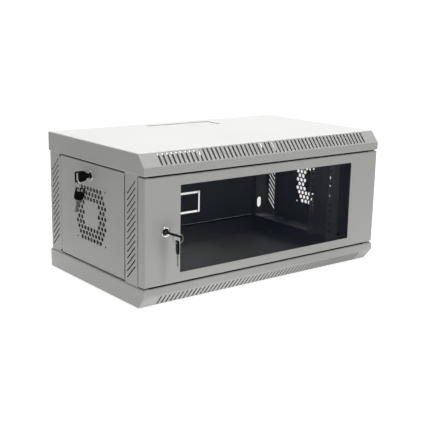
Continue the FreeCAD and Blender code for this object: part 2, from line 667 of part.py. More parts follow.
def upper_hinge_pin():
    """The sprung pin that stands up into the top lip, with the tab that a finger pulls down."""
    tip = UPPER_LIP + PAN_SHEET + 3
    grip = DOOR_TOP - DOOR_SHEET - HOUSING_HEIGHT - RUNNING_GAP
    pin = rod(HINGE_PIN_RADIUS, Z * (grip - PIN_GRIP), Z * tip)
    tab = box(-3 * PIN_GRIP, 0, -PIN_GRIP / 2, PIN_GRIP / 2, grip - PIN_GRIP, grip)
    return placed(pin.fuse(tab), Placement(Vector(HINGE_X, HINGE_Y, 0), Rotation()))


# ---- Cam locks -----------------------------------------------------------------------------
# Local frame: +Z out of the panel, +Y up, origin on the panel's outer face.
def lock_body():
    """The plated barrel with its ring."""
    bore = PLUG_RADIUS + PLUG_FIT
    return revolved([(bore, -LOCK_LENGTH), (LOCK_BARREL_RADIUS, -LOCK_LENGTH), (LOCK_BARREL_RADIUS, 0),
                     (LOCK_RING_RADIUS, 0), (LOCK_RING_RADIUS, LOCK_RING_HEIGHT), (bore, LOCK_RING_HEIGHT)])


def lock_nut(sheet):
    """The hexagonal nut behind the panel."""
    nut = hexagon(LOCK_NUT_FLATS, LOCK_NUT_HEIGHT, -sheet - LOCK_NUT_HEIGHT)
    return nut.cut(Part.makeCylinder(LOCK_BARREL_RADIUS, 3 * LOCK_NUT_HEIGHT, Z * -sheet - Z * 2 * LOCK_NUT_HEIGHT))


def lock_plug():
    """The turning plug, with its keyway in front and the square tang for the cam behind."""
    plug = Part.makeCylinder(PLUG_RADIUS, LOCK_LENGTH + LOCK_RING_HEIGHT - 0.5, Z * -LOCK_LENGTH)
    tang, end = CAM_TANG / 2, -LOCK_LENGTH - RUNNING_GAP - CAM_THICKNESS
    plug = plug.fuse(box(-tang, tang, -tang, tang, end, -LOCK_LENGTH))
    plug = plug.cut(box(-KEYWAY_WIDTH / 2, KEYWAY_WIDTH / 2, -KEYWAY_HEIGHT / 2, KEYWAY_HEIGHT / 2,
                        -KEYWAY_DEPTH, LOCK_RING_HEIGHT + 1))
    return plug.cut(hexagon(CAM_SCREW_HEAD / 2, CAM_SCREW_HEIGHT, end))


def lock_cam(reach):
    """The cam on the tang, pointing along local +X."""
    half, corner = CAM_WIDTH / 2, CAM_CORNER
    base = -LOCK_LENGTH - RUNNING_GAP - CAM_THICKNESS
    outline = [(corner - half, -half), (reach - corner, -half), (reach, corner - half), (reach, half - corner),
               (reach - corner, half), (corner - half, half), (-half, half - corner), (-half, corner - half)]
    tang = CAM_TANG / 2
    return prism(outline, CAM_THICKNESS, base).cut(box(-tang, tang, -tang, tang, base - 1, base + CAM_THICKNESS + 1))


def cam_screw():
    """The screw that holds the cam on the plug."""
    base = -LOCK_LENGTH - RUNNING_GAP - CAM_THICKNESS
    head = hexagon(CAM_SCREW_HEAD, CAM_SCREW_HEIGHT, base - CAM_SCREW_HEIGHT)
    return head.fuse(hexagon(CAM_SCREW_HEAD / 2, CAM_SCREW_HEIGHT, base))


# ---- Keys ----------------------------------------------------------------------------------
# Local frame: +Z out of the lock along the key, the bow's width along Y, the bow's shoulder at z = 0.
def flat_key_piece(outline, thickness):
    """A flat piece on a (width, length) outline, standing in the local YZ plane."""
    piece = prism(outline, thickness, -thickness / 2)
    return placed(piece, Placement(Vector(), Rotation(Y, Z, X, "XYZ")))


def key_bow():
    """The moulded head: a rounded square with tapered shoulders and a slot near its outer end."""
    half, length = KEY_BOW_WIDTH / 2, KEY_BOW_LENGTH
    outline = [(-half * 0.5, 0), (-half, length * 0.28), (-half, length), (half, length), (half, length * 0.28),
               (half * 0.5, 0)]
    bow = rounded(flat_key_piece(outline, KEY_BOW_THICKNESS), KEY_BOW_CORNER,
                  lambda c, t: abs(t.x) > 0.5 and c.z > 1)
    deep, slot = KEY_BOW_THICKNESS, length - KEY_BRIDGE
    bow = bow.cut(box(-deep, deep, -KEY_SLOT_LENGTH / 2, KEY_SLOT_LENGTH / 2, slot - KEY_SLOT_WIDTH, slot))
    half_root, half_blade = KEY_BLADE_WIDTH / 2, KEY_BLADE_THICKNESS / 2
    return bow.cut(box(-half_blade, half_blade, -half_root, half_root, -1, KEY_ROOT))


def key_blade():
    """The flat metal blade with its shoulder and cut edge, rooted in the bow."""
    half, shoulder = KEY_BLADE_WIDTH / 2, KEY_SHOULDER_WIDTH / 2
    stop = -KEY_SHOULDER_LENGTH
    tip = stop - KEY_BLADE_LENGTH
    outline = [(half, KEY_ROOT), (-half, KEY_ROOT), (-half, 0), (-shoulder, 0), (-shoulder, stop), (-half, stop),
               (-half, tip + half), (0, tip)]
    step = (KEY_BLADE_LENGTH - half) / 4
    for i, depth in enumerate((1.2, 2.0, 0.8, 1.6)):
        z = tip + half + i * step
        outline += [(half - depth, z), (half - depth, z + step * 0.5), (half, z + step * 0.75)]
    outline += [(half, stop), (shoulder, stop), (shoulder, 0), (half, 0)]
    return flat_key_piece(outline, KEY_BLADE_THICKNESS)


def key_ring():
    """The flat-wire ring in the local XZ plane, round its own centre."""
    inner, wire = KEY_RING_RADIUS - KEY_RING_WIRE / 2, KEY_RING_WIRE
    ring = revolved([(inner, -wire / 2), (inner + wire, -wire / 2), (inner + wire, wire / 2), (inner, wire / 2)])
    ring.rotate(Vector(), X, 90)
    return ring


def hung_ring(rest, half_bar, swivel):
    """Where a ring's centre and plane lie when it hangs over a bar at a given point."""
    inner = KEY_RING_RADIUS - KEY_RING_WIRE / 2 - RUNNING_GAP
    drop = math.sqrt(inner ** 2 - half_bar ** 2)
    return Placement(rest - Z * drop, Rotation(Z, swivel))


# ---- Write the parts -----------------------------------------------------------------------
def write(name, shape):
    """Save one node."""
    shape.exportStep("parts/%s.step" % name)


def lock_parts(prefix, place, sheet, reach, turn):
    """The nodes of one cam lock; turn is the plug's angle at rest."""
    turned = place.multiply(Placement(Vector(), Rotation(Z, turn)))
    return {
        prefix + "_lock_body": placed(lock_body(), place),
        prefix + "_lock_nut": placed(lock_nut(sheet), place),
        prefix + "_lock_plug": placed(lock_plug(), turned),
        prefix + "_lock_cam": placed(lock_cam(reach), turned),
        prefix + "_lock_cam_screw": placed(cam_screw(), turned),
    }


def main():
    os.makedirs("parts", exist_ok=True)
    nodes = {}
    nodes["bottom_cover"] = bottom_pan(NOSE_BEND)
    nodes["top_cover"] = upside_down(bottom_pan(PAN_BEND))
    plate = pan_entry(ENTRY_PLATE_LAP, PAN_SHEET, 2 * PAN_SHEET)
    nodes["bottom_entry_plate"] = plate
    nodes["top_entry_plate"] = upside_down(plate)
    nodes.update(posts())
    nodes["rear_panel"] = rear_panel()
    panel = side_panel()
    nodes["left_side_panel"] = panel
    nodes["right_side_panel"] = mirrored(panel)
    keeper = lock_keeper()
    nodes["left_lock_keeper"] = keeper
    nodes["right_lock_keeper"] = mirrored(keeper)
    for end, setback in (("front", FRONT_RAIL_SETBACK), ("rear", REAR_RAIL_SETBACK)):
        one, bolts = rail(setback), rail_bolts(setback)
        if end == "rear":
            one, bolts = facing_back(one), facing_back(bolts)
        nodes[end + "_rail_left"] = one
        nodes[end + "_rail_right"] = mirrored(one)
        nodes[end + "_rail_left_bolts"] = bolts
        nodes[end + "_rail_right_bolts"] = mirrored(bolts)
    nodes["door_frame"] = door_frame()
    nodes["window_gasket"] = window_gasket()
    nodes["door_window"] = door_window()
    nodes["window_clips"] = window_clips()
    nodes["lower_hinge_pin"] = lower_hinge_pin()
    nodes["hinge_pin_housing"] = pin_housing()
    nodes["upper_hinge_pin"] = upper_hinge_pin()
    door_lock = frame(Vector(DOOR_LOCK_X, FRONT, MID_HEIGHT), X, Z)
    left_lock = frame(Vector(-SIDE_FACE, PANEL_MIDDLE, SIDE_LOCK_Z), -Y, Z)
    right_lock = frame(Vector(SIDE_FACE, PANEL_MIDDLE, SIDE_LOCK_Z), Y, Z)
    nodes.update(lock_parts("door", door_lock, DOOR_SHEET, DOOR_CAM_REACH, DOOR_KEY_TURN))
    nodes.update(lock_parts("left", left_lock, PANEL_SHEET, SIDE_CAM_REACH, 0))
    nodes.update(lock_parts("right", right_lock, PANEL_SHEET, SIDE_CAM_REACH, 0))
    nodes.update(hung_keys(door_lock, left_lock))
    for name, shape in nodes.items():
        write(name, shape)


def spare_key(wire, swivel, lean):
    """The spare key's placement when the outer bar of its slot hangs on the wire's lowest point."""
    tilt = Placement(wire, Rotation(Z, swivel)).multiply(Placement(Vector(), Rotation(Y, lean)))
    side = (KEY_SLOT_LENGTH / 2 - KEY_RING_WIRE) * math.copysign(1, lean)
    eye = KEY_BOW_LENGTH - KEY_BRIDGE - KEY_RING_WIRE / 2 - SPARE_GAP
    return tilt.multiply(Placement(Vector(side, 0, -eye), Rotation(Z, 90)))


def hung_keys(door_lock, left_lock):
    """The inserted keys, their rings and the spare keys that hang on them."""
    seat = LOCK_RING_HEIGHT + KEY_SHOULDER_LENGTH
    slot_end = KEY_BOW_LENGTH - KEY_BRIDGE
    left_out, door_out = seat + LEFT_KEY_OUT, seat + DOOR_KEY_OUT
    left_key = left_lock.multiply(Placement(Z * left_out, Rotation()))
    door_key = door_lock.multiply(Placement(Z * door_out, Rotation(Z, DOOR_KEY_TURN)))
    # The left key stands upright, and its ring hangs from the lower end of its slot.
    low = Vector(-SIDE_FACE - left_out - slot_end + KEY_SLOT_WIDTH / 2, PANEL_MIDDLE,
                 SIDE_LOCK_Z - KEY_SLOT_LENGTH / 2)
    left_ring = hung_ring(low, KEY_BOW_THICKNESS / 2, 90)
    # The door key lies nearly flat, and its ring hangs over the bar at the bow's end.
    turn, slope = math.radians(RING_TURN), math.radians(90 - DOOR_KEY_TURN)
    half_bar = (KEY_BRIDGE + KEY_RING_WIRE * math.cos(turn)) / 2 / math.sin(turn)
    top = KEY_BOW_THICKNESS / 2 / math.cos(slope) + half_bar * math.cos(turn) * math.tan(slope)
    bar = Vector(DOOR_LOCK_X + RING_SHIFT * math.cos(slope),
                 FRONT - door_out - slot_end - (KEY_BRIDGE - RUNNING_GAP) / 2,
                 MID_HEIGHT - RING_SHIFT * math.sin(slope) + top + RUNNING_GAP / 2)
    door_ring = hung_ring(bar, half_bar, -RING_TURN)
    nodes = {}
    for prefix, key, ring, swivel, lean in (
        ("left", left_key, left_ring, 0, SPARE_LEAN),
        ("door", door_key, door_ring, 90 - RING_TURN + SPARE_TWIST, SPARE_LEAN / 2),
    ):
        nodes[prefix + "_key_bow"] = placed(key_bow(), key)
        nodes[prefix + "_key_blade"] = placed(key_blade(), key)
        nodes[prefix + "_key_ring"] = placed(key_ring(), ring)
        spare = spare_key(ring.Base - Z * KEY_RING_RADIUS, swivel, lean)
        nodes[prefix + "_spare_key_bow"] = placed(key_bow(), spare)
        nodes[prefix + "_spare_key_blade"] = placed(key_blade(), spare)
    return nodes


main()
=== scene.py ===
"""Looks of a wall mount network cabinet: its finishes, its small hardware and its studio."""

import json
import logging
import math
from collections.abc import Mapping, Sequence
from dataclasses import dataclass, field
from enum import Enum

import bmesh
import bpy
from mathutils import Matrix, Quaternion, Vector

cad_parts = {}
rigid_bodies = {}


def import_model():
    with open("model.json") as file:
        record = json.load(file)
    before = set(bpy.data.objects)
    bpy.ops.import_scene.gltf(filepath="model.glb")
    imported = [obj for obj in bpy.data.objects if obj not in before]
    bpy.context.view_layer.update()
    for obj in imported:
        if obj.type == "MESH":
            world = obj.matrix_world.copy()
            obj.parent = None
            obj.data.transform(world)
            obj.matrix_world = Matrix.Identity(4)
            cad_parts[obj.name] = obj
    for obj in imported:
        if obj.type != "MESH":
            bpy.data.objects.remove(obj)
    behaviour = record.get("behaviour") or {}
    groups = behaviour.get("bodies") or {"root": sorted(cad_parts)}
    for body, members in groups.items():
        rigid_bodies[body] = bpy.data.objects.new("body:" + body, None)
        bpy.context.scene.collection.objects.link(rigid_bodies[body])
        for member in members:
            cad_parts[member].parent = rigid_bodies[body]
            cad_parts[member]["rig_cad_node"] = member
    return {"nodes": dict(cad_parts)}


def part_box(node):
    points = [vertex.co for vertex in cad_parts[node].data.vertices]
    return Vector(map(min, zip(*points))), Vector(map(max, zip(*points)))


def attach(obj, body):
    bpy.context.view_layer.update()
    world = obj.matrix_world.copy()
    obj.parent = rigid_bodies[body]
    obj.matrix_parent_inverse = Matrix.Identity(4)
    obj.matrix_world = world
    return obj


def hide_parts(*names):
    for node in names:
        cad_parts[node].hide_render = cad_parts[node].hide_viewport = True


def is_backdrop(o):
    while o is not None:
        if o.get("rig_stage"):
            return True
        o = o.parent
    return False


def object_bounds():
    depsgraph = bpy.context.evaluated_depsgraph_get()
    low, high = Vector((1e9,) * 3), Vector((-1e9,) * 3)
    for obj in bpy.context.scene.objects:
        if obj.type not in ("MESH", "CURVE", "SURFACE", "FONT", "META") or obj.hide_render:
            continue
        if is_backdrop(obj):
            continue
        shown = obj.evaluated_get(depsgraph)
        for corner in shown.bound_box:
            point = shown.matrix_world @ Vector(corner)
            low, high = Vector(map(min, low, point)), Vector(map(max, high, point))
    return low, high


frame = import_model()
log = logging.getLogger("cabinet")

MM = 0.001
SHARP = math.radians(32)
Colour = tuple[float, float, float]
Place = tuple[float, float, float]
Point = tuple[float, float]
Flat = list[Point]


class Side(Enum):
    """The cabinet's two sides, seen from the front."""

    LEFT = "left"
    RIGHT = "right"


# --- shader expressions ---


class Signal:
    """One output socket in a shader expression: + - * / on it add the Math nodes."""

    def __init__(self, graph: "Graph", socket: bpy.types.NodeSocket) -> None:
        """Wraps an output socket of a graph."""
        self.graph = graph
        self.socket = socket

    def _math(self, operation: str, left: "Term", right: "Term") -> "Signal":
        """Adds one Math node over two terms and returns its result."""
        return self.graph.node("Math", {"operation": operation}, {0: left, 1: right})

    def __add__(self, other: "Term") -> "Signal":
        """self + other."""
        return self._math("ADD", self, other)

    def __radd__(self, other: "Term") -> "Signal":
        """other + self."""
        return self._math("ADD", other, self)

    def __sub__(self, other: "Term") -> "Signal":
        """self - other."""
        return self._math("SUBTRACT", self, other)

    def __rsub__(self, other: "Term") -> "Signal":
        """other - self."""
        return self._math("SUBTRACT", other, self)

    def __mul__(self, other: "Term") -> "Signal":
        """self * other."""
        return self._math("MULTIPLY", self, other)

    def __rmul__(self, other: "Term") -> "Signal":
        """other * self."""
        return self._math("MULTIPLY", other, self)

    def __gt__(self, other: "Term") -> "Signal":
        """1 where self is above other, else 0."""
        return self._math("GREATER_THAN", self, other)

    def band(self, low: float, high: float) -> "Signal":
        """A smooth step: 0 at low, 1 at high, held to that range."""
        settings = {"interpolation_type": "SMOOTHSTEP"}
        return self.graph.node("MapRange", settings, {0: self, 1: low, 2: high})


Term = Signal | float


class Graph:
    """A node tree under construction, for a material or for the world."""

    def __init__(self, tree: bpy.types.NodeTree) -> None:
        """Empties the tree, so that it holds only what is added next."""
        self.tree = tree
        tree.nodes.clear()

    def node(
        self,
        kind: str,
        settings: Mapping[str, object] | None = None,
        sockets: Mapping[str | int, object] | None = None,
        output: str | int = 0,
    ) -> Signal:
        """Adds a node.

        Args:
            kind: the node's type, without the leading "ShaderNode".
            settings: the node's own settings, set first.
            sockets: a value, or a Signal to link, for each named or numbered input.
            output: the output that the result stands for.

        Returns:
            That output as a Signal.
        """
        made = self.tree.nodes.new("ShaderNode" + kind)
        for name, value in (settings or {}).items():
            setattr(made, name, value)
        for name, value in (sockets or {}).items():
            if isinstance(value, Signal):
                self.tree.links.new(value.socket, made.inputs[name])
            else:
                made.inputs[name].default_value = value
        return Signal(self, made.outputs[output]) if len(made.outputs) else None

    def place(self) -> Signal:
        """The point on the surface in the piece's own space, in metres."""
        return self.node("TexCoord", output="Object")

    def noise(self, scale: float, detail: float = 2.0) -> Signal:
        """Soft clouds from 0 to 1, so many to a metre, with finer layers over them."""
        sockets = {"Vector": self.place(), "Scale": scale, "Detail": detail}
        return self.node("TexNoise", sockets=sockets)

    def mix(self, factor: Term, low: Signal | Colour, high: Signal | Colour) -> Signal:
        """A colour between two: a factor of 0 gives low, and 1 gives high."""
        low, high = (c if isinstance(c, Signal) else (*c, 1.0) for c in (low, high))
        return self.node("Mix", {"data_type": "RGBA"}, {0: factor, 6: low, 7: high}, 2)

    def bump(self, height: Signal, depth: float, strength: float = 1.0) -> Signal:
        """A normal tilted by a height from 0 to 1, where 1 is worth the depth in metres."""
        sockets = {"Strength": strength, "Distance": depth, "Height": height}
        return self.node("Bump", sockets=sockets)

    def ray(self, output: str) -> Signal:
        """What the Light Path node says of the ray that looks."""
        return self.node("LightPath", output=output)

    def principled(self, sockets: Mapping[str | int, object]) -> Signal:
        """A Principled shader with these values and links."""
        return self.node("BsdfPrincipled", sockets=sockets)


# --- finishes ---


def shade(colour: Colour, share: float) -> Colour:
    """A colour made deeper or paler, and no brighter than white."""
    return tuple(min(1.0, c * share) for c in colour)


@dataclass(frozen=True)
class Finish:
    """What all finishes share: a name, the record's slot, and a material made once."""

    name: str
    slot: str

    def material(self) -> bpy.types.Material:
        """The finish as a material, built at its first use.

        Returns:
            The material.
        """
        found = bpy.data.materials.get(self.name)
        if found:
            return found
        made = bpy.data.materials.new(self.name)
        made.use_nodes = True
        graph = Graph(made.node_tree)
        graph.node("OutputMaterial", sockets={"Surface": self.surface(graph)})
        return made

    def surface(self, graph: Graph) -> Signal:
        """The shader of the finish; each finish has its own."""
        raise NotImplementedError

    def dress(self, *pieces: bpy.types.Object) -> None:
        """Puts the finish on pieces and on every slot they have.

        Args:
            pieces: the pieces, from the frame or made here.
        """
        for piece in pieces:
            piece.data.materials.clear()
            piece.data.materials.append(self.material())
            for face in piece.data.polygons:
                face.material_index = 0


@dataclass(frozen=True)
class PowderCoat(Finish):
    """Baked powder paint: a fine orange peel, faint clouds and a satin shine."""

    colour: Colour = (0.50, 0.502, 0.487)
    shine: float = 0.46
    grain: float = 0.00009

    def surface(self, graph: Graph) -> Signal:
        """Paint over sheet steel.

        Args:
            graph: the material's graph.

        Returns:
            The shader.
        """
        clouds = graph.noise(5.0, detail=3.0)
        speckle = graph.noise(1400.0)
        peel = graph.noise(520.0, detail=1.0)
        deep, pale = shade(self.colour, 0.95), shade(self.colour, 1.03)
        paint = graph.mix(0.7 * clouds + 0.3 * speckle, deep, pale)
        return graph.principled({
            "Base Color": paint,
            "Roughness": self.shine + 0.10 * clouds - 0.05 * speckle,
            "Normal": graph.bump(peel, self.grain, 0.6),
        })


@dataclass(frozen=True)
class SmokedGlass(Finish):
    """Tinted pane: dark, clear and polished."""

    tint: Colour = (0.003, 0.008, 0.019)
    density: float = 0.40

    def surface(self, graph: Graph) -> Signal:
        """A clear dark pane with a faint film of dust.

        Args:
            graph: the material's graph.

        Returns:
            The shader.
        """
        film = graph.noise(14.0, detail=4.0)
        return graph.principled({
            "Base Color": (*self.tint, 1.0),
            "Roughness": 0.03 + 0.05 * film,
            "Alpha": self.density + 0.02 * film,
            "Specular IOR Level": 0.35,
        })


@dataclass(frozen=True)
class Plated(Finish):
    """Plated or bare metal."""

    colour: Colour = (0.62, 0.62, 0.60)
    shine: float = 0.25

    def surface(self, graph: Graph) -> Signal:
        """Metal with fine scratches and a cloudy tarnish.

        Args:
            graph: the material's graph.

        Returns:
            The shader.
        """
        lines = graph.noise(900.0)
        tarnish = graph.noise(160.0, detail=3.0)
        deep, pale = shade(self.colour, 0.78), shade(self.colour, 1.12)
        return graph.principled({
            "Base Color": graph.mix(tarnish, deep, pale),
            "Metallic": 1.0,
            "Roughness": self.shine + 0.15 * lines,
            "Normal": graph.bump(lines, 0.00002, 0.3),
        })


@dataclass(frozen=True)
class Moulded(Finish):
    """Moulded plastic or rubber, with a fine spark texture."""

    colour: Colour = (0.003, 0.003, 0.0034)
    shine: float = 0.40
    spark: float = 0.00004
    gloss: float = 0.11

    def surface(self, graph: Graph) -> Signal:
        """Dark moulding with a soft bloom.

        Args:
            graph: the material's graph.

        Returns:
            The shader.
        """
        bloom = graph.noise(220.0, detail=3.0)
        return graph.principled({
            "Base Color": graph.mix(bloom, self.colour, shade(self.colour, 1.8)),
            "Roughness": self.shine + 0.12 * bloom,
            "Specular IOR Level": self.gloss,
            "Normal": graph.bump(graph.noise(2600.0), self.spark, 0.4),
        })


CABINET_PAINT = PowderCoat("cabinet_powder_coat", "cabinet_paint")
DOOR_PAINT = PowderCoat("door_powder_coat", "door_paint", (0.505, 0.507, 0.494), 0.42)
RAIL_PAINT = PowderCoat("rail_powder_coat", "rail_steel", (0.66, 0.66, 0.65), 0.5)
GLASS = SmokedGlass("smoked_glass", "tinted_glass")
# Black foam for the window's gasket and for the seam strips, which are partly seals and partly
# painted shade.
FOAM_AND_SEAM_SHADE = Moulded("foam_seal_and_seam_shade", "seal", (0.014, 0.014, 0.014), 0.8, 0.0002)
ZINC = Plated("zinc_plate", "zinc", (0.60, 0.60, 0.58), 0.3)
DARK_BOLT = Plated("black_oxide", "dark_fastener", (0.10, 0.10, 0.105), 0.42)
CHROME = Plated("bright_chrome", "chrome", (0.86, 0.86, 0.86), 0.06)
# The plugs' metal is nearly black.
PLUG = Plated("near_black_plug_metal", "plug_metal", (0.045, 0.045, 0.048), 0.35)
KEY_HEAD = Moulded("key_head_moulding", "key_head")
# The keys' steel is darker than the rings' copy of the same metal: painted shade on the blade by
# the lock.
DARKENED_KEY_STEEL = Plated("key_nickel_darkened", "key_metal", (0.40, 0.40, 0.385), 0.30)
RING_STEEL = Plated("ring_nickel", "key_metal", (0.74, 0.74, 0.72), 0.22)


# --- mesh kit ---


class Outline:
    """Flat closed outlines in millimetres, counter-clockwise."""

    @staticmethod
    def circle(radius: float, steps: int = 32) -> Flat:
        """A circle about the origin."""
        turns = (math.tau * i / steps for i in range(steps))
        return [(radius * math.cos(a), radius * math.sin(a)) for a in turns]

    @staticmethod
    def hexagon(flats: float, steps: int = 48) -> Flat:
        """A hexagon about the origin, with corners up and down.

        Args:
            flats: its width across flats.
            steps: how many points it has, a multiple of six.

        Returns:
            The outline, with a point on each corner.
        """
        points = []
        for turn in (math.tau * i / steps for i in range(steps)):
            from_flat = (turn + math.pi / 6) % (math.pi / 3) - math.pi / 6
            reach = flats / 2 / math.cos(from_flat)
            points.append((reach * math.cos(turn), reach * math.sin(turn)))
        return points

    @staticmethod
    def rounded(corners: Flat, radius: float, steps: int = 5) -> Flat:
        """A convex outline with its corners rounded.

        Args:
            corners: the sharp corners, counter-clockwise.
            radius: the radius at each corner.
            steps: how many spans each rounded corner has.

        Returns:
            The rounded outline.
        """
        points = []
        for i, corner in enumerate(corners):
            here = Vector(corner)
            before = (Vector(corners[i - 1]) - here).normalized()
            after = (Vector(corners[(i + 1) % len(corners)]) - here).normalized()
            half = before.angle(after) / 2
            middle = here + (before + after).normalized() * radius / math.sin(half)
            start = here + before * radius / math.tan(half) - middle
            sweep = math.pi - 2 * half
            for step in range(steps + 1):
                spoke = start.copy()
                spoke.rotate(Matrix.Rotation(sweep * step / steps, 2))
                points.append(tuple(middle + spoke))
        return points

    @staticmethod
    def box(width: float, height: float, radius: float, steps: int = 4) -> Flat:
        """A rounded rectangle about the origin."""
        w, h = width / 2, height / 2
        return Outline.rounded([(-w, -h), (w, -h), (w, h), (-w, h)], radius, steps)

    @staticmethod
    def reach(outline: Flat, centre: Point, angle: float) -> float:
        """How far an outline is from a point inside it, along one direction.

        Args:
            outline: the closed outline.
            centre: the point inside it.
            angle: the direction, in radians from the x axis.

        Returns:
            The distance.
        """
        ahead = Vector((math.cos(angle), math.sin(angle)))
        found = 0.0
        for i, point in enumerate(outline):
            start = Vector(outline[i - 1]) - Vector(centre)
            edge = Vector(point) - Vector(centre) - start
            cross = ahead.x * edge.y - ahead.y * edge.x
            if abs(cross) < 1e-9:
                continue
            along = (start.x * edge.y - start.y * edge.x) / cross
            share = (start.x * ahead.y - start.y * ahead.x) / cross
            if along > 0 and -1e-6 <= share <= 1 + 1e-6:
                found = max(found, along)
        return found


def in_mm(corners: Sequence[Vector]) -> list[Vector]:
    """A box's lowest and highest corner, from metres to millimetres."""
    return [corner / MM for corner in corners]


def stack(*levels: tuple[Flat, float]) -> list[list[Vector]]:
    """Outlines as loops of points, each at its height."""
    return [[Vector((x, y, height)) for x, y in outline] for outline, height in levels]


def rings(profile: Sequence[Point], steps: int = 32) -> list[list[Vector]]:
    """A circle of points for each (radius, height)."""
    return stack(*((Outline.circle(radius, steps), height) for radius, height in profile))


def polar(radius: float, angle: float, height: float, centre: Point = (0.0, 0.0)) -> Vector:
    """A point at an angle about a centre, at a height."""
    x, y = centre
    return Vector((x + radius * math.cos(angle), y + radius * math.sin(angle), height))


def drawn_in(value: float, inset: float) -> float:
    """A coordinate moved towards zero, and never past it."""
    return value - math.copysign(min(inset, abs(value)), value)


def linked(name: str, data: bpy.types.ID) -> bpy.types.Object:
    """Makes an object and links it to the scene.

    Args:
        name: its name.
        data: its mesh, lamp or camera.

    Returns:
        The object.
    """
    made = bpy.data.objects.new(name, data)
    bpy.context.scene.collection.objects.link(made)
    return made


class Piece:
    """A mesh piece made of lofted loops, in millimetres in a local frame until it is set."""

    def __init__(self, name: str, place: Matrix | None = None) -> None:
        """Starts an empty piece.

        Args:
            name: the piece's name.
            place: where the local frame stands in the cabinet, in millimetres.
        """
        self.name = name
        self.place = place or Matrix.Identity(4)
        self.mesh = bmesh.new()

    def loft(
        self,
        loops: Sequence[Sequence[Vector]],
        ring: bool = False,
        place: Matrix | None = None,
    ) -> "Piece":
        """Adds a skin through closed loops that have the same number of points.

        Args:
            loops: the loops, in order.
            ring: True joins the last loop to the first; otherwise both ends are capped.
            place: a frame within the piece's own.

        Returns:
            The piece itself.
        """
        frame_of = self.place @ (place or Matrix.Identity(4))
        rows = [[self.mesh.verts.new(frame_of @ p * MM) for p in loop] for loop in loops]
        for low, high in zip(rows, rows[1:] + rows[:1] if ring else rows[1:]):
            for i in range(len(low)):
                self.mesh.faces.new((low[i - 1], low[i], high[i], high[i - 1]))
        if not ring:
            self.mesh.faces.new(reversed(rows[0]))
            self.mesh.faces.new(rows[-1])
        return self

    def turned(self, profile: Flat, steps: int = 40, place: Matrix | None = None) -> "Piece":
        """Adds a turned ring on a closed outline of (radius, height)."""
        return self.loft(rings(profile, steps), True, place)

    def stand(
        self, body: str, finish: Finish, *replaced: str, soften: float = 0.12
    ) -> bpy.types.Object:
        """Turns the loops into an object, sets it on its body and dresses it.

        Args:
            body: the body that it rides on.
            finish: its finish.
            replaced: the frame's nodes that it stands for.
            soften: the width of its rounded edges, in millimetres; 0 leaves them.

        Returns:
            The finished object.
        """
        bmesh.ops.recalc_face_normals(self.mesh, faces=self.mesh.faces)
        for face in self.mesh.faces:
            face.smooth = True
        for edge in self.mesh.edges:
            edge.smooth = edge.calc_face_angle(0.0) < SHARP
        data = bpy.data.meshes.new(self.name)
        self.mesh.to_mesh(data)
        self.mesh.free()
        made = linked(self.name, data)
        if soften:
            rounding = made.modifiers.new("soft_edges", "BEVEL")
            rounding.width = soften * MM
            rounding.segments = 2
            rounding.limit_method = "ANGLE"
            rounding.angle_limit = SHARP
            rounding.harden_normals = True
        finish.dress(made)
        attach(made, body)
        if replaced:
            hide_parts(*replaced)
        log.info("%s rides on %s", self.name, body)
        return made


def axes(origin: Place, across: Place, up: Place) -> Matrix:
    """The frame whose x and y run along two directions.

    Args:
        origin: where it stands, in millimetres.
        across: the direction of its x.
        up: the direction of its y.

    Returns:
        The frame.
    """
    x, y = Vector(across).normalized(), Vector(up).normalized()
    columns = Matrix((x, y, x.cross(y))).transposed().to_4x4()
    return Matrix.Translation(Vector(origin)) @ columns


def spin(degrees: float, axis: str = "Z") -> Matrix:
    """A turn about one axis of a local frame."""
    return Matrix.Rotation(math.radians(degrees), 4, axis)


def shift(x: float, y: float, z: float) -> Matrix:
    """A move in a local frame, in millimetres."""
    return Matrix.Translation(Vector((x, y, z)))


# --- locks and keys ---


@dataclass
class Fastener:
    """A hexagonal screw head or nut, by its main sizes."""

    flats: float
    height: float
    chamfer: float = 0.5

    def head(self, piece: Piece, place: Matrix | None = None) -> None:
        """Adds a head with a chamfered crown and a washer face.

        Args:
            piece: the piece that takes it.
            place: its frame; the head stands up from z = 0.
        """
        edge, crown = self._clipped(self.flats), self._clipped(self.flats * 0.5)
        face = Outline.circle(self.flats * 0.49, len(edge))
        step, high = self.height * 0.12, self.height - self.chamfer
        levels = ((face, 0.0), (face, step), (edge, step), (edge, high), (crown, self.height))
        piece.loft(stack(*levels), place=place)

    def nut(self, piece: Piece, bore: float, place: Matrix | None = None) -> None:
        """Adds a chamfered nut.

        Args:
            piece: the piece that takes it.
            bore: the radius of its hole.
            place: its frame; the nut stands up from z = 0.
        """
        edge, crown = self._clipped(self.flats), self._clipped(self.flats * 0.5)
        hole = Outline.circle(bore, len(edge))
        wide = Outline.circle(bore + self.chamfer, len(edge))
        low, high, top = self.chamfer, self.height - self.chamfer, self.height
        lower = ((hole, low), (wide, 0.0), (crown, 0.0), (edge, low))
        upper = ((edge, high), (crown, top), (wide, top), (hole, high))
        piece.loft(stack(*lower, *upper), True, place)

    def _clipped(self, radius: float) -> Flat:
        """The hexagon with its corners cut back to a circle.

        Args:
            radius: the circle's radius.

        Returns:
            The outline.
        """
        points = []
        for x, y in Outline.hexagon(self.flats):
            over = max(1.0, math.hypot(x, y) / radius)
            points.append((x / over, y / over))
        return points


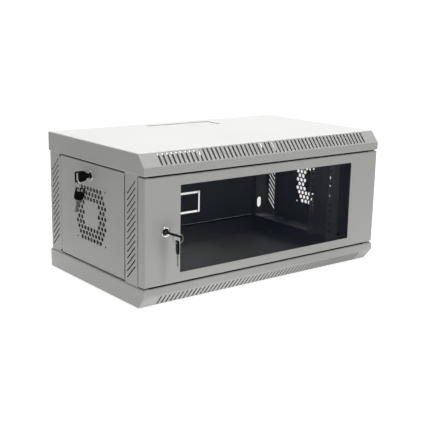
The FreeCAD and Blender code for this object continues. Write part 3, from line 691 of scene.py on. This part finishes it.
@dataclass
class CamLock:
    """A cam lock: plated rim, threaded barrel, nut, toothed washer and cam screw."""

    prefix: str
    panel: str
    place: Matrix
    turn: float = 0.0
    sheet: float = 1.2
    barrel: float = 8.0
    bore: float = 6.05
    length: float = 25.0
    rim: float = 9.75
    rim_height: float = 2.2
    pitch: float = 1.25
    thread: float = 0.55
    nut_flats: float = 20.0
    nut_height: float = 4.0
    cam_gap: float = 0.3
    cam_sheet: float = 2.0
    screw: Fastener = field(default_factory=lambda: Fastener(7.6, 2.4))
    shank_radius: float = 1.9
    shank: float = 2.4

    def _body(self) -> None:
        """The plated rim and the barrel with its thread."""
        steps, spans = 40, 6  # points round the barrel, and loops to one turn of thread
        front, back = -self.sheet - 0.3, -self.length
        piece = Piece(self.prefix + "_lock_barrel", self.place)
        bore, rim = self.bore, self.rim
        # The rim's crown, from the bore out: each point's radius and how far it drops.
        crown = (
            (bore, 1.1), (bore + 0.45, 0.5), (bore + 0.95, 0.08), (bore + 1.5, 0.0),
            (rim - 0.9, 0.05), (rim - 0.35, 0.4), (rim - 0.05, 1.0), (rim, 1.5),
        )
        upper = [(radius, self.rim_height - drop) for radius, drop in crown]
        skirt = ((rim, 0.0), (self.barrel, 0.0), (self.barrel, -1.0))
        piece.turned([(bore, -1.0), *upper, *skirt], steps)
        count = round((front - back) / self.pitch * spans)
        outer = []
        for i in range(count + 1):
            z = back + (front - back) * i / count
            fade = min(1.0, i / spans, (count - i) / spans)
            loop = []
            for j in range(steps):
                angle = math.tau * j / steps
                wave = abs((z / self.pitch - j / steps) % 1.0 - 0.5) * 2
                loop.append(polar(self.barrel - self.thread * fade * wave, angle, z))
            outer.append(loop)
        hole = Outline.circle(bore, steps)
        piece.loft(stack((hole, back), (hole, front)) + outer, True)
        piece.turned([(bore, front), (self.barrel, front), (self.barrel, -1.0), (bore, -1.0)])
        piece.stand(self.panel, CHROME, self.prefix + "_lock_body", soften=0.0)

    def _nut(self) -> None:
        """The nut, and the toothed washer between it and the sheet."""
        teeth, behind = 0.8, self.place @ shift(0, 0, -self.sheet)
        piece = Piece(self.prefix + "_lock_hex_nut", behind)
        nut = Fastener(self.nut_flats, self.nut_height - teeth, 0.7)
        nut.nut(piece, self.barrel, spin(180, "X") @ shift(0, 0, teeth) @ spin(30))
        piece.stand(self.panel, ZINC, self.prefix + "_lock_nut")
        washer = Piece(self.prefix + "_lock_washer", behind)
        steps = 72  # four to a tooth
        lift = [0.0 if i % 4 < 2 else teeth * 0.45 for i in range(steps)]
        loops = []
        for radius, drop in ((self.barrel + 0.1, 0.0), (self.nut_flats / 2 - 0.4, 1.0)):
            ring = Outline.circle(radius, steps)
            for side in (0.0, teeth * 0.5):
                drops = (-side - drop * rise for rise in lift)
                loops.append([Vector((x, y, z)) for (x, y), z in zip(ring, drops)])
        washer.loft([loops[0], loops[1], loops[3], loops[2]], True)
        washer.stand(self.panel, ZINC, soften=0.0)

    def _cam_screw(self) -> None:
        """The screw that holds the cam, with its flange and chamfered head."""
        base = -self.length - self.cam_gap - self.cam_sheet
        place = self.place @ spin(self.turn) @ shift(0, 0, base) @ spin(180, "X")
        piece = Piece(self.prefix + "_cam_bolt", place)
        self.screw.head(piece)
        piece.loft(rings(((self.shank_radius, -self.shank), (self.shank_radius, 0.05))))
        piece.stand(self.prefix + "_plug", DARK_BOLT, self.prefix + "_lock_cam_screw")

    def build(self) -> None:
        """Builds the lock's pieces and sets them on the panel and the plug."""
        self._body()
        self._nut()
        self._cam_screw()


@dataclass
class Key:
    """A key with z out along it: a moulded head, a milled blade and, on some, a sleeve of painted
    shade.
    """

    name: str
    place: Matrix
    width: float = 21.0
    length: float = 24.0
    thickness: float = 3.6
    corner: float = 3.2
    waist: float = 1.2
    slot_width: float = 15.0
    slot_height: float = 4.6
    bridge: float = 2.6
    blade_width: float = 6.4
    blade: float = 1.8
    blade_length: float = 18.5
    shoulder_width: float = 8.6
    shoulder: float = 5.5
    root: float = 4.0
    cuts: tuple[float, ...] = (1.2, 2.0, 0.8, 1.6)
    # Whether the key has the dark sleeve of painted shade at its shoulder.
    shade_sleeved: bool = True

    def _head(self) -> None:
        """The head: soft edges, a raised border and a thinner middle round the slot."""
        half, length, waist = self.width / 2, self.length, self.width / 2 - self.waist
        side = [(half * 0.7, 0.0), (waist, length * 0.14), (half, length * 0.34), (half, length)]
        mirror = [(-x, y) for x, y in reversed(side)]
        outline = Outline.rounded(side + mirror, self.corner, 6)
        slot_top = length - self.bridge
        centre = (0.0, slot_top - self.slot_height / 2)
        flat_slot = Outline.box(self.slot_width, self.slot_height, 0.7)
        slot = [(x, y + centre[1]) for x, y in flat_slot]
        turns = sorted(
            {round(math.atan2(y - centre[1], x - centre[0]), 5) for x, y in outline + slot}
        )
        skin = self.thickness / 2
        # Each level: the outline it follows, how far in from it, and its height.
        levels = (
            (outline, 0.0, skin * 0.35), (outline, 0.12, skin * 0.75), (outline, 0.5, skin),
            (outline, 1.7, skin), (outline, 2.2, skin * 0.78), (slot, -0.55, skin * 0.78),
            (slot, -0.15, skin * 0.66), (slot, 0.0, skin * 0.4),
        )
        top = [self._ray_loop(line, centre, turns, *rest) for line, *rest in levels]
        under = [[Vector((p.x, p.y, -p.z)) for p in loop] for loop in top]
        flat = self.place @ axes((0, 0, 0), (0, 1, 0), (0, 0, 1))
        piece = Piece(self.name + "_head", flat)
        piece.loft(top + under[::-1], True)
        piece.stand(self.name, KEY_HEAD, self.name + "_bow", soften=0.0)

    @staticmethod
    def _ray_loop(
        outline: Flat, centre: Point, turns: Sequence[float], inset: float, height: float
    ) -> list[Vector]:
        """A loop that follows an outline, moved in along the rays from a point.

        Args:
            outline: the outline to follow.
            centre: the point that the rays leave.
            turns: the rays' directions.
            inset: how far in from the outline.
            height: the loop's height.

        Returns:
            The loop.
        """
        loop = []
        for turn in turns:
            reach = Outline.reach(outline, centre, turn)
            reach -= min(inset, reach * 0.12)
            loop.append(polar(reach, turn, height, centre))
        return loop

    def _shade_collar(self) -> None:
        """A dark sleeve over the key's shoulder, stepped up into the head: painted shade on the
        shoulder.
        """
        wide, thick, free = self.shoulder_width + 0.8, self.blade + 1.5, 0.3
        # Each step: its width, its thickness and its height along the key.
        sizes = (
            (wide - 0.8, thick - 0.6, -self.shoulder + free),
            (wide, thick, -self.shoulder + free + 0.5),
            (wide, thick, -1.4),
            (wide + 0.7, self.thickness - 0.3, -0.4),
            (wide + 0.7, self.thickness - 0.3, 0.9),
        )
        piece = Piece(self.name + "_shade_collar", self.place)
        piece.loft(stack(*((Outline.box(d, w, min(d, w) * 0.3), z) for w, d, z in sizes)))
        piece.stand(self.name, KEY_HEAD)

    def _blade(self) -> None:
        """The blade with its milled grooves and cut edge."""
        half, skin = self.blade_width / 2, self.blade / 2
        tip = -self.shoulder - self.blade_length
        step = (self.blade_length - half) / len(self.cuts)
        # Each station: its height, and how far the cut edge and the back are taken in.
        stations = [(self.root, 0.0, 0.0), (-self.shoulder, 0.0, 0.0)]
        for i, depth in reversed(list(enumerate(self.cuts))):
            low = tip + half + i * step
            stations += [(low + step * 0.75, 0.0, 0.0), (low + step * 0.5, depth, 0.0)]
            stations += [(low, depth, 0.0)]
        stations += [(tip + half * 0.5, 0.9, 0.9), (tip + 0.2, half - 0.5, half - 0.5)]
        # The grooves: a share of the half thickness, and a place across the blade.
        front = ((1.0, -1.9), (0.45, -1.6), (0.45, -0.7), (1.0, -0.4))
        back = ((-1.0, 1.2), (-0.5, 0.9), (-0.5, 0.1), (-1.0, -0.2))
        loops = []
        for z, cut, worn in stations:
            high, low = half - cut, -half + worn
            section = ((1.0, low), *front, (1.0, high), (-1.0, high), *back, (-1.0, low))
            loops.append([Vector((skin * x, min(max(y, low), high), z)) for x, y in section])
        piece = Piece(self.name + "_cut_blade", self.place)
        piece.loft(loops)
        shoulder = Outline.box(self.blade + 0.3, self.shoulder_width, 0.5)
        piece.loft(stack((shoulder, 0.0), (shoulder, -self.shoulder)))
        bmesh.ops.remove_doubles(piece.mesh, verts=piece.mesh.verts, dist=0.004 * MM)
        piece.stand(self.name, DARKENED_KEY_STEEL, self.name + "_blade", soften=0.0)

    def build(self) -> None:
        """Builds the key's pieces and sets them on its body."""
        self._head()
        if self.shade_sleeved:
            self._shade_collar()
        self._blade()


@dataclass
class SplitRing:
    """A flat-wire ring of two turns, in its local xz plane."""

    name: str
    body: str
    place: Matrix
    radius: float = 8.9
    wire: float = 1.2

    def build(self) -> None:
        """Winds the wire twice round, stepping from one turn to the other at the end."""
        steps, turns = 44, 2
        start, length = 0.84, 0.32  # of the step between the turns, as shares of a turn
        coil = self.wire / turns
        section = Outline.box(self.wire, coil - 0.04, 0.12, 2)
        loops = []
        for i in range(steps * turns + 1):
            angle = math.tau * i / steps
            share = min(1.0, max(0.0, (i / steps - start) / length))
            level = (share * share * (3 - 2 * share) - 0.5) * coil
            out = Vector((math.cos(angle), 0.0, math.sin(angle)))
            loops.append([out * (self.radius + x) + Vector((0, level + y, 0)) for x, y in section])
        piece = Piece(self.name + "_coil", self.place)
        piece.loft(loops)
        piece.stand(self.body, RING_STEEL, self.name, soften=0.0)


@dataclass
class KeySet:
    """The two locks with keys: each has its key, its ring and a spare that hangs on it."""

    seat: float = CamLock.rim_height + Key.shoulder
    slot_end: float = Key.length - Key.bridge
    slot_low: float = Key.slot_height / 2
    slot_half: float = Key.slot_width / 2
    head_skin: float = Key.thickness / 2
    bridge: float = Key.bridge
    radius: float = SplitRing.radius
    wire: float = SplitRing.wire
    play: float = 0.3
    left_out: float = 1.8
    door_out: float = 6.0
    door_turn: float = 69.0
    ring_turn: float = 33.0
    ring_shift: float = 2.2
    spare_gap: float = 0.9
    spare_twist: float = 7.0
    spare_lean: float = 15.0

    def _hung(self, rest: Vector, half_bar: float, swivel: float) -> Matrix:
        """Where a ring's own frame is when it hangs over a bar.

        Args:
            rest: the bar's top.
            half_bar: half the bar's width along the ring's plane.
            swivel: the ring's turn about the vertical, in degrees.

        Returns:
            The ring's frame.
        """
        inner = self.radius - self.wire / 2 - self.play
        drop = math.sqrt(inner**2 - half_bar**2)
        return Matrix.Translation(rest - Vector((0, 0, drop))) @ spin(swivel)

    def _spare(self, ring: Matrix, swivel: float, lean: float) -> Matrix:
        """Where the spare key hangs on a ring's lowest point.

        Args:
            ring: the ring's frame.
            swivel: the key's turn about the vertical, in degrees.
            lean: its lean in the ring's plane, in degrees.

        Returns:
            The key's frame.
        """
        wire = ring.to_translation() - Vector((0, 0, self.radius))
        eye = self.slot_end - self.wire / 2 - self.spare_gap
        tilt = Matrix.Translation(wire) @ spin(swivel) @ spin(lean, "Y")
        return tilt @ shift(self.slot_half - self.wire, 0, -eye) @ spin(90)

    def left(self, lock: Matrix) -> None:
        """The side lock's upright key, its ring and the spare.

        Args:
            lock: the lock's frame.
        """
        out = self.seat + self.left_out
        Key("left_key", lock @ shift(0, 0, out)).build()
        rest = lock @ Vector((0, -self.slot_half, out + self.slot_end - self.slot_low))
        ring = self._hung(rest, self.head_skin, 90)
        SplitRing("left_key_ring", "left_ring", ring).build()
        spare = self._spare(ring, 0, self.spare_lean)
        Key("left_spare_key", spare, shade_sleeved=False).build()

    def door(self, lock: Matrix) -> None:
        """The door lock's nearly flat key, its ring and the spare.

        Args:
            lock: the lock's frame.
        """
        out = self.seat + self.door_out
        Key("door_key", lock @ shift(0, 0, out) @ spin(self.door_turn)).build()
        turn, slope = math.radians(self.ring_turn), math.radians(90 - self.door_turn)
        half_bar = (self.bridge + self.wire * math.cos(turn)) / 2 / math.sin(turn)
        top = self.head_skin / math.cos(slope) + half_bar * math.cos(turn) * math.tan(slope)
        x = self.ring_shift * math.cos(slope)
        y = self.play / 2 + top - self.ring_shift * math.sin(slope)
        z = out + self.slot_end + (self.bridge - self.play) / 2
        ring = self._hung(lock @ Vector((x, y, z)), half_bar, -self.ring_turn)
        SplitRing("door_key_ring", "door_ring", ring).build()
        swivel = 90 - self.ring_turn + self.spare_twist
        spare = self._spare(ring, swivel, self.spare_lean / 2)
        Key("door_spare_key", spare, shade_sleeved=False).build()


# --- small hardware ---


@dataclass
class SeamShadeSeals:
    """Black foam strips in the seams round the door and side panels: seals, and painted seam
    shade.
    """

    thickness: float = 1.8
    width: float = 10.0
    edge: float = 3.0
    setback: float = 1.6
    recess: float = 0.2
    proud: float = 0.6
    bulb: float = 2.3
    hinge_side: float = 0.8
    gap: float = 0.15

    @staticmethod
    def _strip(name: str, body: str, low: Place, high: Place) -> None:
        """One strip between two corners, with rounded edges.

        Args:
            name: the strip's name.
            body: the body that it rides on.
            low: its lowest corner.
            high: its highest corner.
        """
        size, middle = Vector(high) - Vector(low), (Vector(low) + Vector(high)) / 2
        outline = Outline.box(size.x, size.y, min(size.x, size.y) * 0.2)
        loops = []
        for level, share in ((-0.5, 0.96), (-0.3, 1.0), (0.3, 1.0), (0.5, 0.96)):
            inset, z = (1 - share) * min(size), level * size.z
            loops.append([Vector((drawn_in(x, inset), drawn_in(y, inset), z)) for x, y in outline])
        Piece(name, Matrix.Translation(middle)).loft(loops).stand(body, FOAM_AND_SEAM_SHADE, soften=0.0)

    def build(self) -> None:
        """Strips below and above the door and the back panel, and down both sides."""
        _, pan_high = in_mm(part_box("bottom_cover"))
        door_low, door_high = in_mm(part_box("door_frame"))
        lip, half = pan_high.z, door_high.x - 4 * self.edge
        front = door_low.y + self.setback
        back, right, top = front + self.width, half - 4 * self.edge, door_high.z
        # Dark strips in the gaps under and over the door and the back panel: painted shade in
        # those seams.
        for name, body, z in (("bottom_shade_seal", "cabinet", lip), ("door_top_shade_seal", "door", top)):
            self._strip(name, body, (-half, front, z), (right, back, z + self.thickness))
        low, high = in_mm(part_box("rear_panel"))
        for name, foot, top in (
            ("rear_lower_shade_seal", lip, low.z - self.gap),
            ("rear_upper_shade_seal", high.z + self.gap, in_mm(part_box("top_cover"))[0].z),
        ):
            self._strip(name, "cabinet", (low.x, low.y + 1, foot), (high.x, high.y - 1, top))
        for side in Side:
            self._beside(side)

    def _beside(self, side: Side) -> None:
        """The strips of one side: before the post, and behind and over the panel.

        Args:
            side: which side.
        """
        low, high = in_mm(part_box("front_post_" + side.value))
        panel_low, panel_high = in_mm(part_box(side.value + "_side_panel"))
        cover = in_mm(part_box("top_cover"))[0].z
        left = side is Side.LEFT
        thick, inset = (self.bulb, -self.proud) if left else (self.hinge_side, self.edge)
        edge, gap = self.edge, self.gap
        # Each strip: how far in it lies, and its lowest and highest y and z.
        strips = {
            "_post_shade_seal": (inset, low.y - thick, low.z + edge, low.y, high.z - edge),
            "_panel_shade_seal": (
                self.recess, high.y + gap, low.z + 2 * edge, panel_low.y - gap, high.z - 2 * edge
            ),
            "_lip_shade_seal": (
                self.recess, panel_low.y, panel_high.z + 4 * gap, panel_high.y, cover - gap
            ),
        }
        for name, (inset, front, foot, rear, top) in strips.items():
            outer = low.x + inset if left else high.x - inset
            near, far = sorted((outer, outer + math.copysign(self.width, -outer)))
            self._strip(side.value + name, "cabinet", (near, front, foot), (far, rear, top))


@dataclass
class Screw:
    """A small domed screw head with a recess in its middle."""

    radius: float = 3.4
    height: float = 1.9
    recess: float = 1.2
    lobes: int = 4

    def add(self, piece: Piece, place: Matrix) -> None:
        """Adds the head, standing up from z = 0.

        Args:
            piece: the piece that takes it.
            place: its frame.
        """
        steps = 48
        dome = ((1.0, 0.0), (1.0, 0.35), (0.93, 0.68), (0.78, 0.9), (0.56, 1.0))
        loops = rings([(self.radius * r, self.height * z) for r, z in dome], steps)
        for share, level in ((0.5, self.height), (0.42, self.height - self.recess)):
            loop = []
            for i in range(steps):
                angle = math.tau * i / steps
                lobe = abs(math.cos(angle * self.lobes / 2))
                loop.append(polar(self.radius * share * (0.4 + 0.6 * lobe**3), angle, level))
            loops.append(loop)
        piece.loft(loops, place=place)


@dataclass
class Hardware:
    """Screws, washers and studs on the sheet metal."""

    screw: Screw = field(default_factory=Screw)
    inset: float = 5.0
    sheet: float = 1.2

    def _entry_plates(self) -> None:
        """Four screws on the inner face of each entry plate."""
        for name, up in (("bottom_entry_plate", 1.0), ("top_entry_plate", -1.0)):
            low, high = in_mm(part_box(name))
            level = high.z if up > 0 else low.z
            piece = Piece(name + "_screws")
            for x in (low.x + self.inset, high.x - self.inset):
                for y in (low.y + self.inset, high.y - self.inset):
                    self.screw.add(piece, axes((x, y, level), (1, 0, 0), (0, up, 0)))
            piece.stand("cabinet", ZINC, soften=0.0)

    def _rail_washers(self) -> None:
        """A washer under each head that holds a rail's foot."""
        sheet, radius, hole, foot = 0.9, 8.0, 4.2, 2.0
        ring = [(hole, 0.0), (radius, 0.0), (radius, sheet), (hole, sheet)]
        for end in ("front", "rear"):
            for side in Side:
                low, high = in_mm(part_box(f"{end}_rail_{side.value}_bolts"))
                rail_low, rail_high = in_mm(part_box(f"{end}_rail_{side.value}"))
                x, y = (low.x + high.x) / 2, (low.y + high.y) / 2
                piece = Piece(f"{end}_{side.value}_rail_washers")
                for z, up in ((rail_low.z + foot, 1.0), (rail_high.z - foot, -1.0)):
                    piece.turned(ring, 32, axes((x, y, z), (1, 0, 0), (0, up, 0)))
                piece.stand(f"{end}_{side.value}_rail", ZINC)

    def _earth_studs(self) -> None:
        """A bonding stud with its nuts on the door and on the cabinet's floor."""
        door_low, door_high = in_mm(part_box("door_frame"))
        pan_low, pan_high = in_mm(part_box("bottom_cover"))
        on_door = (door_high.x - 30, door_low.y + self.sheet, door_low.z + 10)
        on_floor = (pan_high.x - 40, pan_high.y - 60, pan_low.z + self.sheet)
        shank = ((2.9, 0), (2.9, 9.5), (2.4, 10))
        for body, origin, up in (("door", on_door, (0, 0, -1)), ("cabinet", on_floor, (0, 1, 0))):
            piece = Piece(body + "_earth_stud", axes(origin, (1, 0, 0), up))
            piece.loft(rings(shank, 24))
            piece.turned([(3.0, 1.0), (6.0, 1.0), (6.0, 2.2), (3.0, 2.2)], 32)
            for level in (2.3, 5.4):
                Fastener(10.0, 3.0).nut(piece, 2.9, shift(0, 0, level))
            piece.stand(body, ZINC)

    def build(self) -> None:
        """Adds all of the small hardware."""
        self._entry_plates()
        self._rail_washers()
        self._earth_studs()


# --- studio ---


@dataclass
class Studio:
    """Pale floor, soft light, white surroundings and the camera."""

    place: Vector = field(default_factory=lambda: Vector((-1.1137, -1.4004, 0.5278)))
    azimuth: float = 38.25
    elevation: float = 13.14
    roll: float = 1.13
    lens: float = 73.13
    ambient: float = 0.15
    mirrored: float = 0.35
    # Painted extra brightness of the surroundings and the floor where they are seen through the
    # glass.
    glimpse: float = 1.0
    floor_reach: float = 12.0

    def camera(self) -> None:
        """Stands the camera at the cabinet's left front, looking slightly down."""
        lens = bpy.data.cameras.new("studio_camera")
        lens.lens = self.lens
        lens.clip_start, lens.clip_end = 0.05, 100.0
        camera = linked("studio_camera", lens)
        turn, dip = math.radians(self.azimuth), math.radians(self.elevation)
        flat = math.cos(dip)
        ahead = Vector((math.sin(turn) * flat, math.cos(turn) * flat, -math.sin(dip)))
        level = ahead.to_track_quat("-Z", "Y")
        tilt = Quaternion((0.0, 0.0, 1.0), math.radians(self.roll))
        camera.rotation_mode = "QUATERNION"
        camera.rotation_quaternion = level @ tilt
        camera.location = self.place
        bpy.context.scene.camera = camera

    def surroundings(self) -> None:
        """Even light from all round, which shows as white behind the cabinet."""
        world = bpy.data.worlds.new("white_surroundings")
        world.use_nodes = True
        bpy.context.scene.world = world
        graph = Graph(world.node_tree)
        seen = graph.ray("Is Camera Ray")
        mirrored = graph.ray("Is Glossy Ray")
        through = graph.ray("Is Transmission Ray")
        behind = graph.ray("Transparent Depth") > 0.5
        strength = self.ambient + (1.0 - self.ambient) * (seen + through)
        # Seen through the glass, the surroundings are painted brighter, so what lies behind the
        # pane shows white.
        strength += self.mirrored * mirrored + self.glimpse * seen * behind
        sockets = {"Color": (1.0, 1.0, 1.0, 1.0), "Strength": strength}
        background = graph.node("Background", sockets=sockets)
        graph.node("OutputWorld", sockets={"Surface": background})

    def floor(self) -> None:
        """A wide pale floor that stays nearly white and takes a soft shadow."""
        mesh = bpy.data.meshes.new("studio_floor")
        far = self.floor_reach
        corners = [(-far, -far, 0), (far, -far, 0), (far, far, 0), (-far, far, 0)]
        mesh.from_pydata(corners, [], [(0, 1, 2, 3)])
        floor = linked("studio_floor", mesh)
        floor.location.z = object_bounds()[0].z - 0.0004
        material = bpy.data.materials.new("pale_floor")
        material.use_nodes = True
        graph = Graph(material.node_tree)
        seen = graph.ray("Is Camera Ray")
        mirrored = graph.ray("Is Glossy Ray")
        behind = graph.ray("Transparent Depth") > 0.5
        # An oval round the cabinet, 0.45 m by 0.42 m from its middle, where "away" is 1.
        oval = {0: graph.place(), 1: (1 / 0.45, 1 / 0.42, 0.0)}
        spot = graph.node("VectorMath", {"operation": "MULTIPLY"}, oval)
        away = graph.node("VectorMath", {"operation": "LENGTH"}, {0: spot}, "Value")
        near = 1 - away.band(0.75, 1.7)
        bounce = graph.node("BsdfDiffuse", sockets={"Color": (0.55, 0.55, 0.54, 1.0)})
        # The floor glows, most in the oval: a painted pool of light that brightens the cabinet's
        # lower faces; seen through the glass it is painted brighter still.
        lift = 0.10 + 0.44 * near + seen * (0.25 + self.glimpse * behind)
        glow = graph.node("Emission", sockets={"Strength": lift})
        pale = graph.node("AddShader", sockets={0: bounce, 1: glow})
        # To glossy rays the floor shows a painted reflection: brightest near the cabinet and in a
        # band left of the middle, dimmer to the right.
        across = graph.node("SeparateXYZ", sockets={0: graph.place()}, output="X")
        ahead = across.band(-0.5, -0.15) * (1.0 - 1.6 * across.band(-0.1, 0.25))
        sheen = (0.12 + 0.88 * near) * (1.0 + ahead)
        dark = graph.node("Emission", sockets={"Strength": sheen})
        above = graph.node("MixShader", sockets={0: mirrored, 1: pale, 2: dark})
        under = graph.node("NewGeometry", output="Backfacing")
        clear = graph.node("BsdfTransparent")
        shown = graph.node("MixShader", sockets={0: under, 1: above, 2: clear})
        graph.node("OutputMaterial", sockets={"Surface": shown})
        mesh.materials.append(material)
        floor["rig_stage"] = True

    def lamps(self) -> None:
        """A wide soft lamp overhead, a smaller one high in front and a low fill."""
        self._sun("overhead_light", (-22.0, 22.0, 0.0), 56.0, 4.45)
        self._sun("high_front_light", (38.0, 0.0, 10.0), 12.0, 0.62)
        self._sun("front_fill_light", (70.0, 0.0, 35.0), 60.0, 0.10)

    @staticmethod
    def _sun(name: str, turned: Place, spread: float, strength: float) -> None:
        """Adds a far soft lamp.

        Args:
            name: its name.
            turned: its rotation in degrees; unturned, it shines straight down.
            spread: how wide its disc looks from the floor, in degrees.
            strength: its strength.
        """
        light = bpy.data.lights.new(name, "SUN")
        light.angle = math.radians(spread)
        light.energy = strength
        linked(name, light).rotation_euler = [math.radians(a) for a in turned]

    def build(self) -> None:
        """Sets up the whole studio."""
        bpy.context.scene.view_settings.view_transform = "Standard"
        self.camera()
        self.surroundings()
        self.floor()
        self.lamps()
        log.info("studio is up")


# --- the cabinet ---


def pair(*names: str) -> tuple[str, ...]:
    """Each name twice, with left and with right in the place of its star."""
    return tuple(name.replace("*", side.value) for name in names for side in Side)


@dataclass
class Dressing:
    """Finishes for the frame's own pieces that keep their shape."""

    finishes: dict[Finish, tuple[str, ...]] = field(
        default_factory=lambda: {
            CABINET_PAINT: (
                "bottom_cover", "top_cover", "rear_panel", "top_entry_plate",
                "bottom_entry_plate", *pair("front_post_*", "rear_post_*", "*_side_panel"),
            ),
            DOOR_PAINT: ("door_frame",),
            RAIL_PAINT: pair("front_rail_*", "rear_rail_*"),
            GLASS: ("door_window",),
            FOAM_AND_SEAM_SHADE: ("window_gasket",),
            ZINC: (
                "window_clips", "hinge_pin_housing", "lower_hinge_pin", "upper_hinge_pin",
                "door_lock_cam", *pair("*_lock_keeper", "*_lock_cam"),
            ),
            DARK_BOLT: pair("front_rail_*_bolts", "rear_rail_*_bolts"),
            PLUG: ("door_lock_plug", *pair("*_lock_plug")),
        }
    )

    def build(self) -> None:
        """Dresses each named piece."""
        for finish, names in self.finishes.items():
            finish.dress(*(frame["nodes"][name] for name in names))
            log.info("%s on %d pieces", finish.name, len(names))


@dataclass
class Locks:
    """The three cam locks, and the keys in two of them."""

    keys: KeySet = field(default_factory=KeySet)

    @staticmethod
    def _seat(prefix: str, out: Place, across: Place) -> Matrix:
        """The frame of a lock: on the panel's face, z straight out of it.

        Args:
            prefix: the lock's name.
            out: the direction that the lock faces.
            across: the direction of its local x.

        Returns:
            The frame, in millimetres.
        """
        low, high = in_mm(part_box(prefix + "_lock_body"))
        middle, facing = (low + high) / 2, Vector(out)
        rim = CamLock.rim_height
        half = abs((high - low).dot(facing)) / 2
        return axes(tuple(middle + facing * (half - rim)), across, (0, 0, 1))

    def build(self) -> None:
        """Builds the locks, then the keys in the door's and the left panel's lock."""
        door = self._seat("door", (0, -1, 0), (1, 0, 0))
        left = self._seat("left", (-1, 0, 0), (0, -1, 0))
        right = self._seat("right", (1, 0, 0), (0, 1, 0))
        CamLock("door", "door", door, self.keys.door_turn).build()
        CamLock("left", "left_panel", left).build()
        CamLock("right", "right_panel", right).build()
        self.keys.left(left)
        self.keys.door(door)


def main() -> None:
    """Builds the looks of the cabinet in order."""
    logging.basicConfig(level=logging.INFO)
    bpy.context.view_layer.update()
    Dressing().build()
    Locks().build()
    SeamShadeSeals().build()
    Hardware().build()
    Studio().build()


if __name__ == "__main__":
    main()
